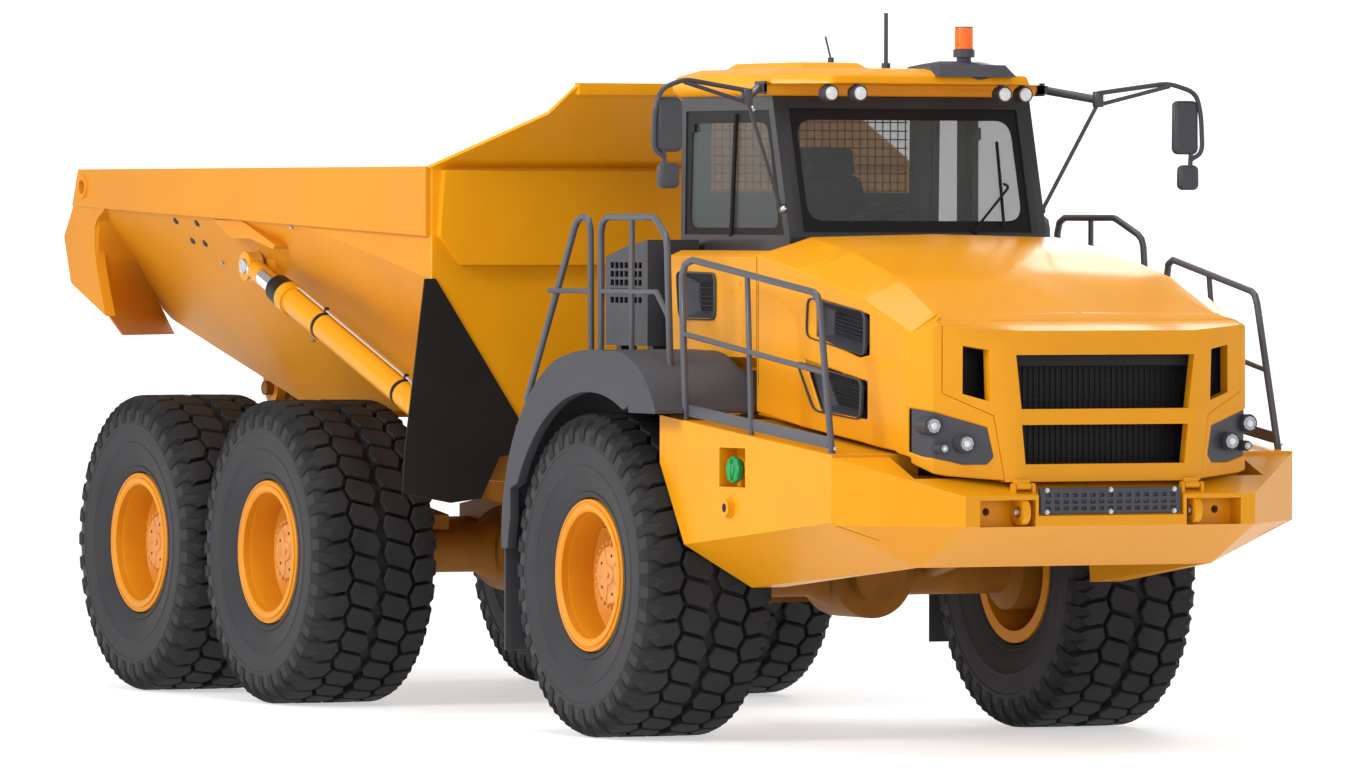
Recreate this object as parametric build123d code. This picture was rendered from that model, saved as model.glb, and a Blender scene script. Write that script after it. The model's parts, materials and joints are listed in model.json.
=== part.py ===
from build123d import *
import math
import os

# Articulated dump truck, six wheels driven, standing empty with its load bin down.
# Units are millimetres. Every piece is drawn in the truck frame: X forward with zero at
# the front axle, Y to the left with zero on the centre plane, Z up with zero on the ground.
# main() then moves all of them together, so that the origin is the bottom centre of the
# whole machine's box. A piece that exists on both sides is drawn on the left (Y > 0) and
# mirrored.

# ---- overall -------------------------------------------------------------------------
FRONT_REACH = 3050.0          # front axle to the tips of the tow lugs
REAR_REACH = 7760.0           # front axle to the bin's tail
ORIGIN_SHIFT = (REAR_REACH - FRONT_REACH) / 2
SEAT = 0.3                    # gap between rigid pieces that only lie against each other
PIN_GAP = 0.5                 # radial clearance of a pin or spindle in its bore
RUN_GAP = 6.0                 # side clearance between pieces that turn past each other

# ---- wheels and axles ----------------------------------------------------------------
FRONT_AXLE_X = 0.0
MIDDLE_AXLE_X = -4438.0
REAR_AXLE_X = -6388.0
TYRE_R = 925.0                # standing radius, so also the height of the axles
TYRE_W = 800.0
LUG_COUNT = 36                # lugs round a tyre, with a groove between each two
LUG_DEPTH = 42.0
LUG_GAP = 24.0                # width of a groove at the tread's face
WHEEL_Y = 1372.0              # centre plane of a tyre
BEAD_R = 384.0                # outside of the rim's barrel, where the tyre seats
RIM_LIP_R = 431.0
RIM_W = 690.0
RIM_WALL = 22.0
DISC_OUT = 70.0               # wheel disc, outboard of the tyre's centre plane
HUB_R = 205.0
HUB_NOSE = 130.0              # hub cover beyond the disc
SPINDLE_R = 105.0
BRAKE_R = 235.0
AXLE_TUBE_R = 140.0
DIFF_R = 265.0

# ---- chassis -------------------------------------------------------------------------
RAIL_IN = 370.0               # inner face of a main rail
RAIL_OUT = 490.0
RAIL_LOW = 1210.0
RAIL_TOP = 1520.0
HITCH_X = -1200.0             # articulation pin
HITCH_Z = 1090.0              # centre of the articulation and of the oscillation tube
HITCH_GAP_H = 560.0           # between the front frame's two ears
EAR_T = 80.0
EAR_R = 210.0
HITCH_PIN_R = 60.0
SWIVEL_R = 200.0              # oscillation tube of the hitch
SWIVEL_X0 = -1480.0
SWIVEL_X1 = -2080.0
RING_R = 300.0                # ring of the rear frame around that tube
RING_X0 = -1560.0
RING_X1 = -2000.0

# ---- front bodywork ------------------------------------------------------------------
BUMPER_X = FRONT_REACH - 30   # front face between the tow lugs
BUMPER_HALF = 909.0
BUMPER_LOW = 1274.0
BUMPER_TOP = 1440.0
CORNER_X = BUMPER_X - 535     # seam between bumper and side box
CORNER_Y = 1457.0
CORNER_TOP = 1660.0
CORNER_LOW = 1291.0
CHIN_X = CORNER_X + 9
CHIN_Z = 1036.0
BOX_REAR_X = 700.0
BOX_REAR_Y = 1620.0
BOX_REAR_TOP = 1850.0
SKIN = 14.0                   # thickness of a bodywork panel
BONNET_REAR_X = 935.0
BONNET_HINGE_X = BUMPER_X - 45
BONNET_HINGE_Z = 1492.0
GRILLE_X = BUMPER_X - 70      # front face of the grille frame
GRILLE_FLAT = 560.0           # half width of its flat middle
GRILLE_SIDE_X = GRILLE_X - 145
GRILLE_SIDE_Y = 925.0
NOSE_REAR_X = GRILLE_X - 310  # where the bonnet's top ends and its nose begins
FRAME_FRONT_X = BUMPER_X - 690
RADIATOR_X = GRILLE_X - 330
PANEL_Y = 1130.0              # outer face of the body sides beside the cab
PANEL_REAR_X = -250.0

# ---- cab -----------------------------------------------------------------------------
CAB_REAR_X = -620.0
CAB_HALF = 830.0
CAB_FLOOR_Z = 2300.0
CAB_TOP_Z = 3655.0
WINDOW_TOP_Z = CAB_TOP_Z - 70
CAB_WALL = 45.0
GLASS_T = 8.0
BROW_LOW_Z = CAB_TOP_Z + 67   # underside of the brow over the windscreen
ROOF_EDGE_Z = CAB_TOP_Z + 157
ROOF_TOP_Z = CAB_TOP_Z + 195
ROOF_HALF = 890.0
DOOR_REAR_X = -130.0
DOOR_GAP = 8.0
TUBE_R = 20.0

# ---- bin -----------------------------------------------------------------------------
BIN_FRONT_X = -2335.0
BIN_HALF = 1650.0
BIN_TOP_Z = 3262.0
BIN_WALL = 25.0
BAND_T = 30.0                 # the rim's box band stands this far out of the wall
DUMP_X = -6750.0
DUMP_Z = 1880.0
DUMP_PIN_R = 45.0
BIN_EAR_Y = 620.0
BIN_EAR_T = 60.0
BOSS_X = -7437.0              # round boss at the rear end of the rim
BOSS_Z = 3150.0
BOSS_R = 45.0
HEADBOARD_TIP_X = -1760.0
HEADBOARD_TIP_Z = 3745.0
HEADBOARD_T = 22.0
FLAP_T = 14.0

# ---- cylinders -----------------------------------------------------------------------
HOIST_Y = BIN_HALF - 100
HOIST_BASE_X = -2455.0
HOIST_BASE_Z = 1780.0
HOIST_EYE_X = -5050.0
HOIST_EYE_Z = 2660.0
HOIST_BARREL_R = 82.0
HOIST_ROD_R = 50.0
HOIST_EYE_R = 88.0
HOIST_PIN_R = 36.0
HOIST_RING = 2170.0           # base pin to the far side of the barrel's ring
HOIST_GLAND = 2330.0          # base pin to the open end of the barrel
HOIST_BORE = 100.0            # base pin to the bottom of the bore
STEER_BASE_X = -270.0
STEER_BASE_Y = 640.0
STEER_EYE_X = -1560.0
STEER_EYE_Y = 430.0
STEER_Z = 1085.0
STEER_BARREL_R = 52.0
STEER_ROD_R = 28.0
STEER_EYE_R = 48.0
STEER_PIN_R = 22.0
STEER_GLAND = 850.0           # base pin to the open end of the barrel
STEER_ROD_END = 420.0         # base pin to the rod's inner end
STEER_ARM_Z = STEER_Z + 56    # underside of the hitch's steering arms


# ---- helpers -------------------------------------------------------------------------
def block(x, y, z):
    """Box between three (low, high) pairs."""
    size = [high - low for low, high in (x, y, z)]
    middle = [(high + low) / 2 for low, high in (x, y, z)]
    return Pos(*middle) * Box(*size)


def prism(points, low, high, across="Y"):
    """Polygon swept between two values of the axis that it lies across.

    Across Y the points are (x, z), across X they are (y, z) and across Z (x, y).
    """
    corners = {
        "X": [(low, a, b) for a, b in points],
        "Y": [(a, low, b) for a, b in points],
        "Z": [(a, b, low) for a, b in points],
    }[across]
    way = {"X": (1, 0, 0), "Y": (0, 1, 0), "Z": (0, 0, 1)}[across]
    return extrude(make_face(Polyline(*corners, close=True)), high - low, dir=way)


def bar(start, end, radius):
    """Round bar between two points."""
    line = Vector(*end) - Vector(*start)
    return Plane(Vector(*start), z_dir=line) * Cylinder(
        radius, line.length, align=(Align.CENTER, Align.CENTER, Align.MIN)
    )


def disc(x, y, z, radius, across="Y"):
    """Round plug: one of x, y, z is a (low, high) pair along its axis."""
    low = [value[0] if isinstance(value, tuple) else value for value in (x, y, z)]
    high = [value[1] if isinstance(value, tuple) else value for value in (x, y, z)]
    return bar(low, high, radius)


def bent_path(points, bend):
    """The points, with each inner corner cut to two short chords of a bend."""
    places = [Vector(*point) for point in points]
    path = [places[0]]
    for before, corner, after in zip(places, places[1:], places[2:]):
        way_in = (corner - before).normalized()
        way_out = (after - corner).normalized()
        half_turn = math.radians(way_in.get_angle(way_out)) / 2
        reach = bend * math.tan(half_turn)
        inwards = (way_out - way_in).normalized()
        path.append(corner - way_in * reach)
        path.append(corner + inwards * (bend / math.cos(half_turn) - bend))
        path.append(corner + way_out * reach)
    return path + [places[-1]]


def tube(points, radius, bend=0.0):
    """Eight-sided tube through the points, mitred at each turn of its path."""
    path = bent_path(points, bend) if bend else [Vector(*point) for point in points]
    ways = [(after - before).normalized() for before, after in zip(path, path[1:])]
    flat = Plane(path[0], z_dir=ways[0])
    turns = [math.radians(22.5 + 45 * k) for k in range(8)]
    ring = [flat.from_local_coords(Vector(radius * math.cos(t), radius * math.sin(t), 0)) for t in turns]
    rings = [ring]
    for place, way, next_way in zip(path[1:], ways, ways[1:] + ways[-1:]):
        mitre = (way + next_way).normalized()
        ring = [corner + way * ((place - corner).dot(mitre) / way.dot(mitre)) for corner in ring]
        rings.append(ring)
    return loft([make_face(Polyline(*ring, close=True)) for ring in rings], ruled=True)


def section_loft(sections, across="X"):
    """Straight-sided loft through polygons given as (station, points)."""
    faces = []
    for station, points in sections:
        if across == "X":
            corners = [(station, a, b) for a, b in points]
        elif across == "Y":
            corners = [(a, station, b) for a, b in points]
        else:
            corners = [(a, b, station) for a, b in points]
        faces.append(make_face(Polyline(*corners, close=True)))
    return loft(faces, ruled=True)


def rectangle(a, b):
    """Corners of a rectangle from two (low, high) pairs, as a section for section_loft."""
    return [(a[0], b[0]), (a[1], b[0]), (a[1], b[1]), (a[0], b[1])]


def other_side(piece):
    return mirror(piece, about=Plane.XZ)


def both(piece):
    """The piece and its mirror image, as one node's solids."""
    return Compound(children=[piece, other_side(piece)])


def joined(*pieces):
    """Everything fused, kept as one shape."""
    result = pieces[0]
    for piece in pieces[1:]:
        result = result + piece
    return result


# ---- wheels --------------------------------------------------------------------------
def polygon_ring(y, radius, sides):
    """Station and corners of a regular polygon about Y, given the radius of its flats."""
    corner_radius = radius / math.cos(math.pi / sides)
    turns = [2 * math.pi * (k + 0.5) / sides for k in range(sides)]
    return y, [(corner_radius * math.sin(turn), corner_radius * math.cos(turn)) for turn in turns]


def tyre():
    """Tyre with one flat for each lug, standing on a flat, and grooves between the lugs."""
    half = TYRE_W / 2
    bead = RIM_W / 2 - RIM_WALL - SEAT
    profile = [
        # distance from the centre plane, radius of the flats
        (bead, RIM_LIP_R + 14),
        (half, TYRE_R * 0.84),
        (half - 56, TYRE_R),
    ]
    stations = [(-y, radius) for y, radius in profile] + list(reversed(profile))
    body = section_loft([polygon_ring(y, radius, LUG_COUNT) for y, radius in stations], "Y")
    mouth = TYRE_R + 6
    groove = prism([(-LUG_GAP / 2, mouth), (0, TYRE_R - LUG_DEPTH), (LUG_GAP / 2, mouth)], -half, half)
    turn = 360 / LUG_COUNT
    for k in range(LUG_COUNT):
        body -= Rot(0, (k + 0.5) * turn, 0) * groove
    _, bore = polygon_ring(0, BEAD_R + SEAT, 12)
    return body - prism(bore, -half, half)


def rim():
    """Dished rim with its disc and hub; +Y is outboard."""
    half = RIM_W / 2
    barrel_in = BEAD_R - RIM_WALL
    bore = SPINDLE_R + PIN_GAP
    disc_in = DISC_OUT - 35
    nose = DISC_OUT + HUB_NOSE
    profile = [
        (bore, disc_in - 60),
        (bore, nose - 40),
        (0, nose - 40),
        (0, nose),
        (HUB_R - 60, nose),
        (HUB_R - 45, nose - 18),
        (HUB_R - 8, nose - 30),
        (HUB_R, DISC_OUT),
        (barrel_in - 60, DISC_OUT),
        (barrel_in, DISC_OUT + 70),
        (barrel_in, half - 60),
        (barrel_in + 12, half),
        (RIM_LIP_R, half),
        (RIM_LIP_R, half - RIM_WALL),
        (BEAD_R, half - RIM_WALL),
        (BEAD_R, -half + RIM_WALL),
        (RIM_LIP_R, -half + RIM_WALL),
        (RIM_LIP_R, -half),
        (barrel_in, -half),
        (barrel_in, disc_in),
        (HUB_R, disc_in),
        (HUB_R, disc_in - 60),
    ]
    return revolve(make_face(Polyline(*[(r, y, 0) for r, y in profile], close=True)), Axis.Y, 360)


def axle(x):
    """Housing with its differential, brakes and the spindles that carry the hubs."""
    hub_in = WHEEL_Y + DISC_OUT - 35 - 60
    brake_out = hub_in - RUN_GAP
    brake_in = WHEEL_Y - RIM_W / 2 - 60
    spindle_out = WHEEL_Y + DISC_OUT + HUB_NOSE - 40 - RUN_GAP
    z = TYRE_R
    arm = revolve(
        make_face(
            Polyline(
                (0, 0, 0),
                (DIFF_R * 0.86, 0, 0),
                (DIFF_R * 0.80, 150, 0),
                (AXLE_TUBE_R, 330, 0),
                (AXLE_TUBE_R, brake_in - 40, 0),
                (BRAKE_R, brake_in, 0),
                (BRAKE_R, brake_out, 0),
                (SPINDLE_R, brake_out, 0),
                (SPINDLE_R, spindle_out, 0),
                (0, spindle_out, 0),
                close=True,
            )
        ),
        Axis.Y,
        360,
    )
    carrier = bar((-DIFF_R - 90, 0, 0), (DIFF_R + 40, 0, 0), DIFF_R * 0.62)
    bowl = bar((-DIFF_R + 60, 0, 0), (DIFF_R - 60, 0, 0), DIFF_R)
    return Pos(x, 0, z) * joined(arm, other_side(arm), carrier, bowl)


# ---- front unit: chassis -------------------------------------------------------------
SUSPENSION_Y = 640.0
SUSPENSION_X = 250.0
STRUT_STEP_Z = RAIL_TOP - 190 # where the strut's barrel meets its rod


def front_frame():
    """Two rails, cross members, hitch ears with their pin, and the belly plate."""
    half_gap = HITCH_GAP_H / 2
    rail = prism(
        [
            (-520, RAIL_LOW),
            (FRAME_FRONT_X, RAIL_LOW),
            (FRAME_FRONT_X, RAIL_TOP - 80),
            (FRAME_FRONT_X - 230, RAIL_TOP - 80),
            (FRAME_FRONT_X - 430, RAIL_TOP),
            (-520, RAIL_TOP),
        ],
        RAIL_IN,
        RAIL_OUT,
    )
    tail = prism(
        [(-520, RAIL_OUT), (HITCH_X, EAR_R), (HITCH_X, -EAR_R), (-520, -RAIL_OUT)],
        HITCH_Z + half_gap,
        HITCH_Z + half_gap + EAR_T,
        "Z",
    )
    ear = joined(tail, disc(HITCH_X, 0, (HITCH_Z + half_gap, HITCH_Z + half_gap + EAR_T), EAR_R))
    low_ear = Pos(0, 0, -HITCH_GAP_H - EAR_T) * ear
    web = block(
        (-600, -520), (-RAIL_OUT, RAIL_OUT), (HITCH_Z - half_gap - EAR_T, RAIL_TOP)
    )
    web -= block((-700, -400), (-220, 220), (HITCH_Z - 170, HITCH_Z + 210))
    for y in ((425, RAIL_OUT + 10), (-RAIL_OUT - 10, -425)):
        web -= block((-700, -400), y, (STEER_Z - 70, STEER_Z + 70))
    pin_low = HITCH_Z - half_gap - EAR_T - 30
    pin = disc(HITCH_X, 0, (pin_low, HITCH_Z + half_gap + EAR_T + 30), HITCH_PIN_R)
    pieces = [rail, other_side(rail), ear, low_ear, web, pin]
    for x in (620, 1500, FRAME_FRONT_X - 150):
        pieces.append(block((x, x + 110), (-RAIL_IN, RAIL_IN), (RAIL_LOW + 30, RAIL_LOW + 170)))
    tower = joined(
        block(
            (SUSPENSION_X - 90, SUSPENSION_X + 90),
            (RAIL_OUT, SUSPENSION_Y + 80),
            (RAIL_TOP - 60, RAIL_TOP + 40),
        ),
        block(
            (SUSPENSION_X - 90, SUSPENSION_X - 60),
            (RAIL_OUT, SUSPENSION_Y + 60),
            (STRUT_STEP_Z + 10, RAIL_TOP - 50),
        ),
    )
    steer_bracket = joined(
        block(
            (STEER_BASE_X - 70, STEER_BASE_X + 70),
            (RAIL_IN + 20, STEER_BASE_Y + 50),
            (STEER_Z + 62, STEER_Z + 92),
        ),
        block(
            (STEER_BASE_X - 70, STEER_BASE_X + 70),
            (RAIL_IN + 20, RAIL_IN + 60),
            (STEER_Z + 62, RAIL_LOW + 10),
        ),
        disc(STEER_BASE_X, STEER_BASE_Y, (STEER_Z - 55, STEER_Z + 70), STEER_PIN_R),
    )
    for piece in (tower, steer_bracket):
        pieces += [piece, other_side(piece)]
    return joined(*pieces)


def front_suspension():
    """Struts beside the rails and the A-frame that leads the axle."""
    top = RAIL_TOP - 60 - SEAT
    strut = joined(
        disc(SUSPENSION_X, SUSPENSION_Y, (STRUT_STEP_Z - 200, STRUT_STEP_Z), 62),
        disc(SUSPENSION_X, SUSPENSION_Y, (STRUT_STEP_Z, top), 48),
        block(
            (FRONT_AXLE_X - 20, SUSPENSION_X + 70),
            (SUSPENSION_Y - 80, SUSPENSION_Y + 80),
            (TYRE_R + AXLE_TUBE_R - 30, STRUT_STEP_Z - 190),
        ),
    )
    arm = bar((FRONT_AXLE_X + 120, 420, TYRE_R + 20), (1320, 150, 1120), 60)
    nose = bar((1320, -210, 1120), (1320, 210, 1120), 75)
    hanger = block((1270, 1370), (-240, -160), (1100, RAIL_LOW + 60))
    hanger = joined(hanger, other_side(hanger), block((1270, 1370), (-370, 370), (1215, 1275)))
    return joined(strut, other_side(strut), arm, other_side(arm), nose, hanger)


def front_axle():
    return joined(axle(FRONT_AXLE_X), front_suspension())


ENGINE_X = (480.0, 2050.0)
ENGINE_Z = (RAIL_LOW + 180.0, 2120.0)


def engine():
    """One plain block at the engine's place and size, with its mounting feet."""
    feet = block((700, 900), (-RAIL_IN + SEAT, RAIL_IN - SEAT), (RAIL_LOW + 190, RAIL_LOW + 250))
    return joined(block(ENGINE_X, (-330, 330), ENGINE_Z), feet)


def radiator():
    """Cooling pack behind the grille, with a fin face seen through the openings."""
    pack = block((RADIATOR_X - 170, RADIATOR_X), (-600, 600), (1500, 2250))
    for y in (-560, 560):
        pack += block((RADIATOR_X - 150, RADIATOR_X + 30), (y - 30, y + 30), (1480, 2230))
    foot = (RAIL_TOP - 80 + SEAT, 1500)
    saddle = block((FRAME_FRONT_X - 150, RADIATOR_X - 60), (-RAIL_OUT, RAIL_OUT), foot)
    return joined(pack, saddle)


# ---- front unit: bumper and side boxes ------------------------------------------------
TAB_Y = (485.0, 575.0)        # the bonnet's hinge tabs
HINGE_PIN_R = 10.0
TOW_Y = 520.0                 # lug plate
TOW_Z = 1352.0
TOW_HOLE_R = 30.0
PIN_HOLE_Y = 720.0            # small pin hole in the back of a tow recess
PIN_HOLE_R = 22.0
RECESS_Y = (475.0, 820.0)
RECESS_Z = (1272.0, 1418.0)
STEP_Y = 455.0


def front_bumper():
    """Cast bumper: chin, sloping top, two tow recesses with a lug, and a middle step."""
    plan = [
        (CORNER_X, CORNER_Y),
        (BUMPER_X, BUMPER_HALF),
        (BUMPER_X, -BUMPER_HALF),
        (CORNER_X, -CORNER_Y),
    ]
    foot = [(CORNER_X, 930), (CHIN_X + 20, 916), (CHIN_X + 20, -916), (CORNER_X, -930)]
    upper = prism(plan, BUMPER_LOW, CORNER_TOP, "Z")
    slope = [
        (CORNER_X, CORNER_TOP - 12),
        (BUMPER_X + 5, BUMPER_TOP),
        (BUMPER_X + 5, CORNER_TOP + 50),
        (CORNER_X, CORNER_TOP + 50),
    ]
    upper -= prism(slope, -CORNER_Y - 10, CORNER_Y + 10)
    chin = section_loft([(CHIN_Z, foot), (BUMPER_LOW, plan)], "Z")
    body = joined(upper, chin)
    room = block((CORNER_X - 1, BUMPER_X - 240), (-1100, 1100), (BUMPER_LOW, CORNER_TOP + 60))
    body -= room
    for side in (1, -1):
        y0, y1 = sorted((side * RECESS_Y[0], side * RECESS_Y[1]))
        body -= block((BUMPER_X - 120, BUMPER_X + 10), (y0, y1), RECESS_Z)
    body -= block((BUMPER_X - 36, BUMPER_X + 10), (-STEP_Y, STEP_Y), (1330, BUMPER_TOP + 40))
    lug = block((BUMPER_X - 130, BUMPER_X - 25), (TOW_Y, TOW_Y + 40), (TOW_Z - 60, TOW_Z + 60))
    lug += disc(FRONT_REACH - 75, (TOW_Y, TOW_Y + 40), TOW_Z, 75)
    lug -= disc(FRONT_REACH - 75, (TOW_Y - 5, TOW_Y + 45), TOW_Z, TOW_HOLE_R)
    body = joined(body, lug, other_side(lug))
    for side in (1, -1):
        body -= disc((BUMPER_X - 300, BUMPER_X), side * PIN_HOLE_Y, TOW_Z, PIN_HOLE_R, "X")
    leg = block(
        (FRAME_FRONT_X + SEAT, CORNER_X + 40),
        (RAIL_IN, RAIL_OUT),
        (RAIL_LOW, BUMPER_LOW + 10),
    )
    leg += block((FRAME_FRONT_X + SEAT, BUMPER_X - 200), (RAIL_IN, RAIL_OUT), (BUMPER_LOW, 1420))
    hinge = disc(BONNET_HINGE_X, (TAB_Y[0] - 25, TAB_Y[1] + 25), BONNET_HINGE_Z, HINGE_PIN_R)
    for y in ((TAB_Y[0] - 25, TAB_Y[0] - RUN_GAP), (TAB_Y[1] + RUN_GAP, TAB_Y[1] + 25)):
        hinge += disc(BONNET_HINGE_X, y, BONNET_HINGE_Z, 18)
        hinge += block((BONNET_HINGE_X - 18, BONNET_HINGE_X + 18), y, (BUMPER_TOP, BONNET_HINGE_Z))
    return joined(body, leg, other_side(leg), hinge, other_side(hinge))


def bumper_step():
    """Perforated tread plate set in the middle of the bumper, and the ledge behind it."""
    plate = block((BUMPER_X - 36 + SEAT, BUMPER_X - 6), (-STEP_Y + 15, STEP_Y - 15), (1340, 1484))
    for column in range(-7, 8):
        for row in (0, 1, 2):
            plate -= block(
                (BUMPER_X - 24, BUMPER_X),
                (column * 56 - 16, column * 56 + 16),
                (1362 + row * 36, 1380 + row * 36),
            )
    return plate


FILLER_X = (1330.0, 1600.0)
FILLER_Z = (1462.0, 1680.0)
TIE_X = 1430.0
TIE_Z = 1346.0
TIE_R = 26.0
TIE_T = 24.0
BOX_IN_Y = 1000.0             # inner face of a side box at its rear
STEP_HOLE_X = (1350.0, 1750.0)
STEP_HOLE_Z = (1230.0, 1500.0)


def box_side_y(x):
    """Outer face of a side box at a place along the truck."""
    share = (CORNER_X - x) / (CORNER_X - BOX_REAR_X)
    return CORNER_Y + share * (BOX_REAR_Y - CORNER_Y)


def box_top_z(x):
    """Top face of a side box at a place along the truck."""
    share = (CORNER_X - x) / (CORNER_X - BOX_REAR_X)
    return CORNER_TOP + share * (BOX_REAR_TOP - CORNER_TOP)


TIE_PAD_Y = round(box_side_y(TIE_X) + 6)


def side_box(filler):
    """Side tank behind the bumper, from the seam back to the front wheel's arch."""
    rear = [
        (BOX_REAR_Y, BOX_REAR_TOP),
        (BOX_REAR_Y, 1100),
        (1240, 850),
        (BOX_IN_Y, 850),
        (BOX_IN_Y, BOX_REAR_TOP),
    ]
    front = [
        (CORNER_Y, CORNER_TOP),
        (CORNER_Y, CORNER_LOW),
        (930, CHIN_Z),
        (BOX_IN_Y - 80, CHIN_Z),
        (BOX_IN_Y - 80, CORNER_TOP),
    ]
    body = section_loft([(BOX_REAR_X, rear), (CORNER_X - SEAT, front)])
    arch = [
        (BOX_REAR_X - 10, 800),
        (BOX_REAR_X - 10, 1585),
        (BOX_REAR_X, 1585),
        (962, 1127),
        (1010, 800),
    ]
    body -= prism(arch, 700, 1700)
    if filler:
        recess_y = box_side_y(FILLER_X[0]) - 110
        body -= block(FILLER_X, (recess_y, 1700), FILLER_Z)
        middle = (FILLER_X[0] + FILLER_X[1]) / 2
        neck_z = (FILLER_Z[0] + FILLER_Z[1]) / 2 - 6
        body += disc(middle, (recess_y - 1, recess_y + 45), neck_z, 62)
    else:
        for z in STEP_HOLE_Z:
            body -= block(STEP_HOLE_X, (box_side_y(STEP_HOLE_X[0]) - 160, 1700), (z, z + 150))
    return body + disc(TIE_X, (TIE_PAD_Y - 80, TIE_PAD_Y), TIE_Z, TIE_R + 34)


def tie_ring():
    """Tie-down ring that lies on its pad on a side box."""
    low = TIE_PAD_Y + SEAT
    ring = disc(TIE_X, (low, low + TIE_T), TIE_Z, TIE_R + 22)
    return ring - disc(TIE_X, (low - 5, low + TIE_T + 5), TIE_Z, TIE_R)


def side_boxes():
    """Right box with the filler recess, left box with the two climbing steps."""
    return Compound(
        children=[other_side(side_box(True)), side_box(False), tie_ring(), other_side(tie_ring())]
    )


# ---- front unit: bonnet and grille ----------------------------------------------------
NOSE_PLAN = [
    # x, y of the nose's left corner, from the bonnet's side to the grille's shoulder
    (NOSE_REAR_X, 1050.0),
    (GRILLE_X - 175, 985.0),
    (GRILLE_SIDE_X, GRILLE_SIDE_Y),
]
BONNET_LOW_FRONT = 1515.0


def bonnet_sections(inset):
    """Half outlines across the bonnet, each moved inwards by the inset.

    Columns: x, top z, shoulder y, side y, side top z, lower z.
    """
    table = [
        (BONNET_REAR_X, 2872, 790, 1130, 2752, 1872),
        (1500, 2800, 830, 1128, 2660, 1795),
        (2150, 2650, 860, 1105, 2520, 1725),
        (NOSE_REAR_X, 2440, 890, 1050, 2330, 1650),
    ]
    sections = []
    for x, top, shoulder, side, side_top, low in table:
        half = [
            (shoulder - inset, top - inset - 18),
            (side - inset, side_top - inset),
            (side - inset, low),
        ]
        sections.append((x, half, top - inset))
    return sections


def bonnet_form(inset):
    """Closed form of the bonnet behind its nose."""
    stations = []
    for x, half, crown in bonnet_sections(inset):
        left = [(y, z) for y, z in half]
        right = [(-y, z) for y, z in reversed(half)]
        stations.append((x, [(0, crown)] + left + right))
    return section_loft(stations)


def nose_form(inset):
    """Closed form of the nose: swept-back corners in plan under a falling top."""
    front = GRILLE_X - inset
    side = [(x - inset, y - inset) for x, y in NOSE_PLAN]
    plan = side + [(front, GRILLE_FLAT), (front, -GRILLE_FLAT)]
    plan += [(x, -y) for x, y in reversed(side)]
    plan[0] = (NOSE_PLAN[0][0], NOSE_PLAN[0][1] - inset)
    plan[-1] = (NOSE_PLAN[0][0], -NOSE_PLAN[0][1] + inset)
    body = prism(plan, BONNET_LOW_FRONT, 2440, "Z")
    top = [
        (NOSE_PLAN[0][0] - 1, 2440 - inset),
        (GRILLE_SIDE_X, 2372 - inset),
        (GRILLE_X + 5, 2344 - inset),
        (GRILLE_X + 5, 2600),
        (NOSE_PLAN[0][0] - 1, 2600),
    ]
    body -= prism(top, -1300, 1300)
    shoulder = [
        (890 - inset, 2425 - inset),
        (1050 - inset, 2330 - inset),
        (1300, 2330),
        (1300, 2600),
        (890 - inset, 2600),
    ]
    cut = prism(shoulder, NOSE_PLAN[0][0] - 1, GRILLE_X + 5, "X")
    return body - cut - other_side(cut)


def grille_outline(grow):
    """The grille frame as seen from the front: wide shoulders on a narrower foot."""
    half = [(935, 2600), (935, 2003), (672, 1880), (612, BONNET_LOW_FRONT - 10)]
    left = [(y + grow, z) for y, z in half]
    return left + [(-y, z) for y, z in reversed(left)]


def lower_edge_cut():
    """Takes the bonnet's lower edge up from the nose to the doors of the tank tops."""
    points = [
        (BONNET_REAR_X - 5, 1500),
        (BONNET_REAR_X - 5, box_top_z(BONNET_REAR_X) + 22),
        (CORNER_X, CORNER_TOP + 22),
        (GRILLE_X - 150, 1548),
        (GRILLE_X + 10, BONNET_LOW_FRONT),
        (GRILLE_X + 10, 1400),
        (GRILLE_X - 350, 1400),
    ]
    return prism(points, -1300, 1300)


SIDE_VENTS = [
    # name, corner points (x, z) of the opening in the bonnet's side
    ("upper", [(1650, 2515), (2235, 2430), (2235, 2205), (2140, 2190), (1650, 2300)]),
    ("lower", [(1520, 2170), (2215, 2060), (2215, 1850), (1700, 1890)]),
]


def side_vent_openings():
    cuts = None
    for _, points in SIDE_VENTS:
        cut = prism(points, 1000, 1200)
        cuts = cut if cuts is None else cuts + cut
    return cuts


def bonnet():
    """Thin shell that tilts forward with the grille; open below and at the rear."""
    shell = bonnet_form(0) + nose_form(0)
    inner = bonnet_form(SKIN) + nose_form(SKIN)
    rear_room = block((BONNET_REAR_X - 5, BONNET_REAR_X + 3), (-1090, 1090), (1500, 2735))
    shell = shell - inner - rear_room - lower_edge_cut()
    vents = side_vent_openings()
    shell = shell - vents - other_side(vents)
    shell -= prism(grille_outline(SEAT), GRILLE_SIDE_X - 60, GRILLE_X + 10, "X")
    shell -= headlamp_opening() + other_side(headlamp_opening())
    return shell


GRILLE_T = 60.0
OPENINGS = [
    # half widths at the top and bottom, top z, bottom z
    (560, 525, 2212, 1915),
    (522, 500, 1828, 1612),
]


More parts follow.
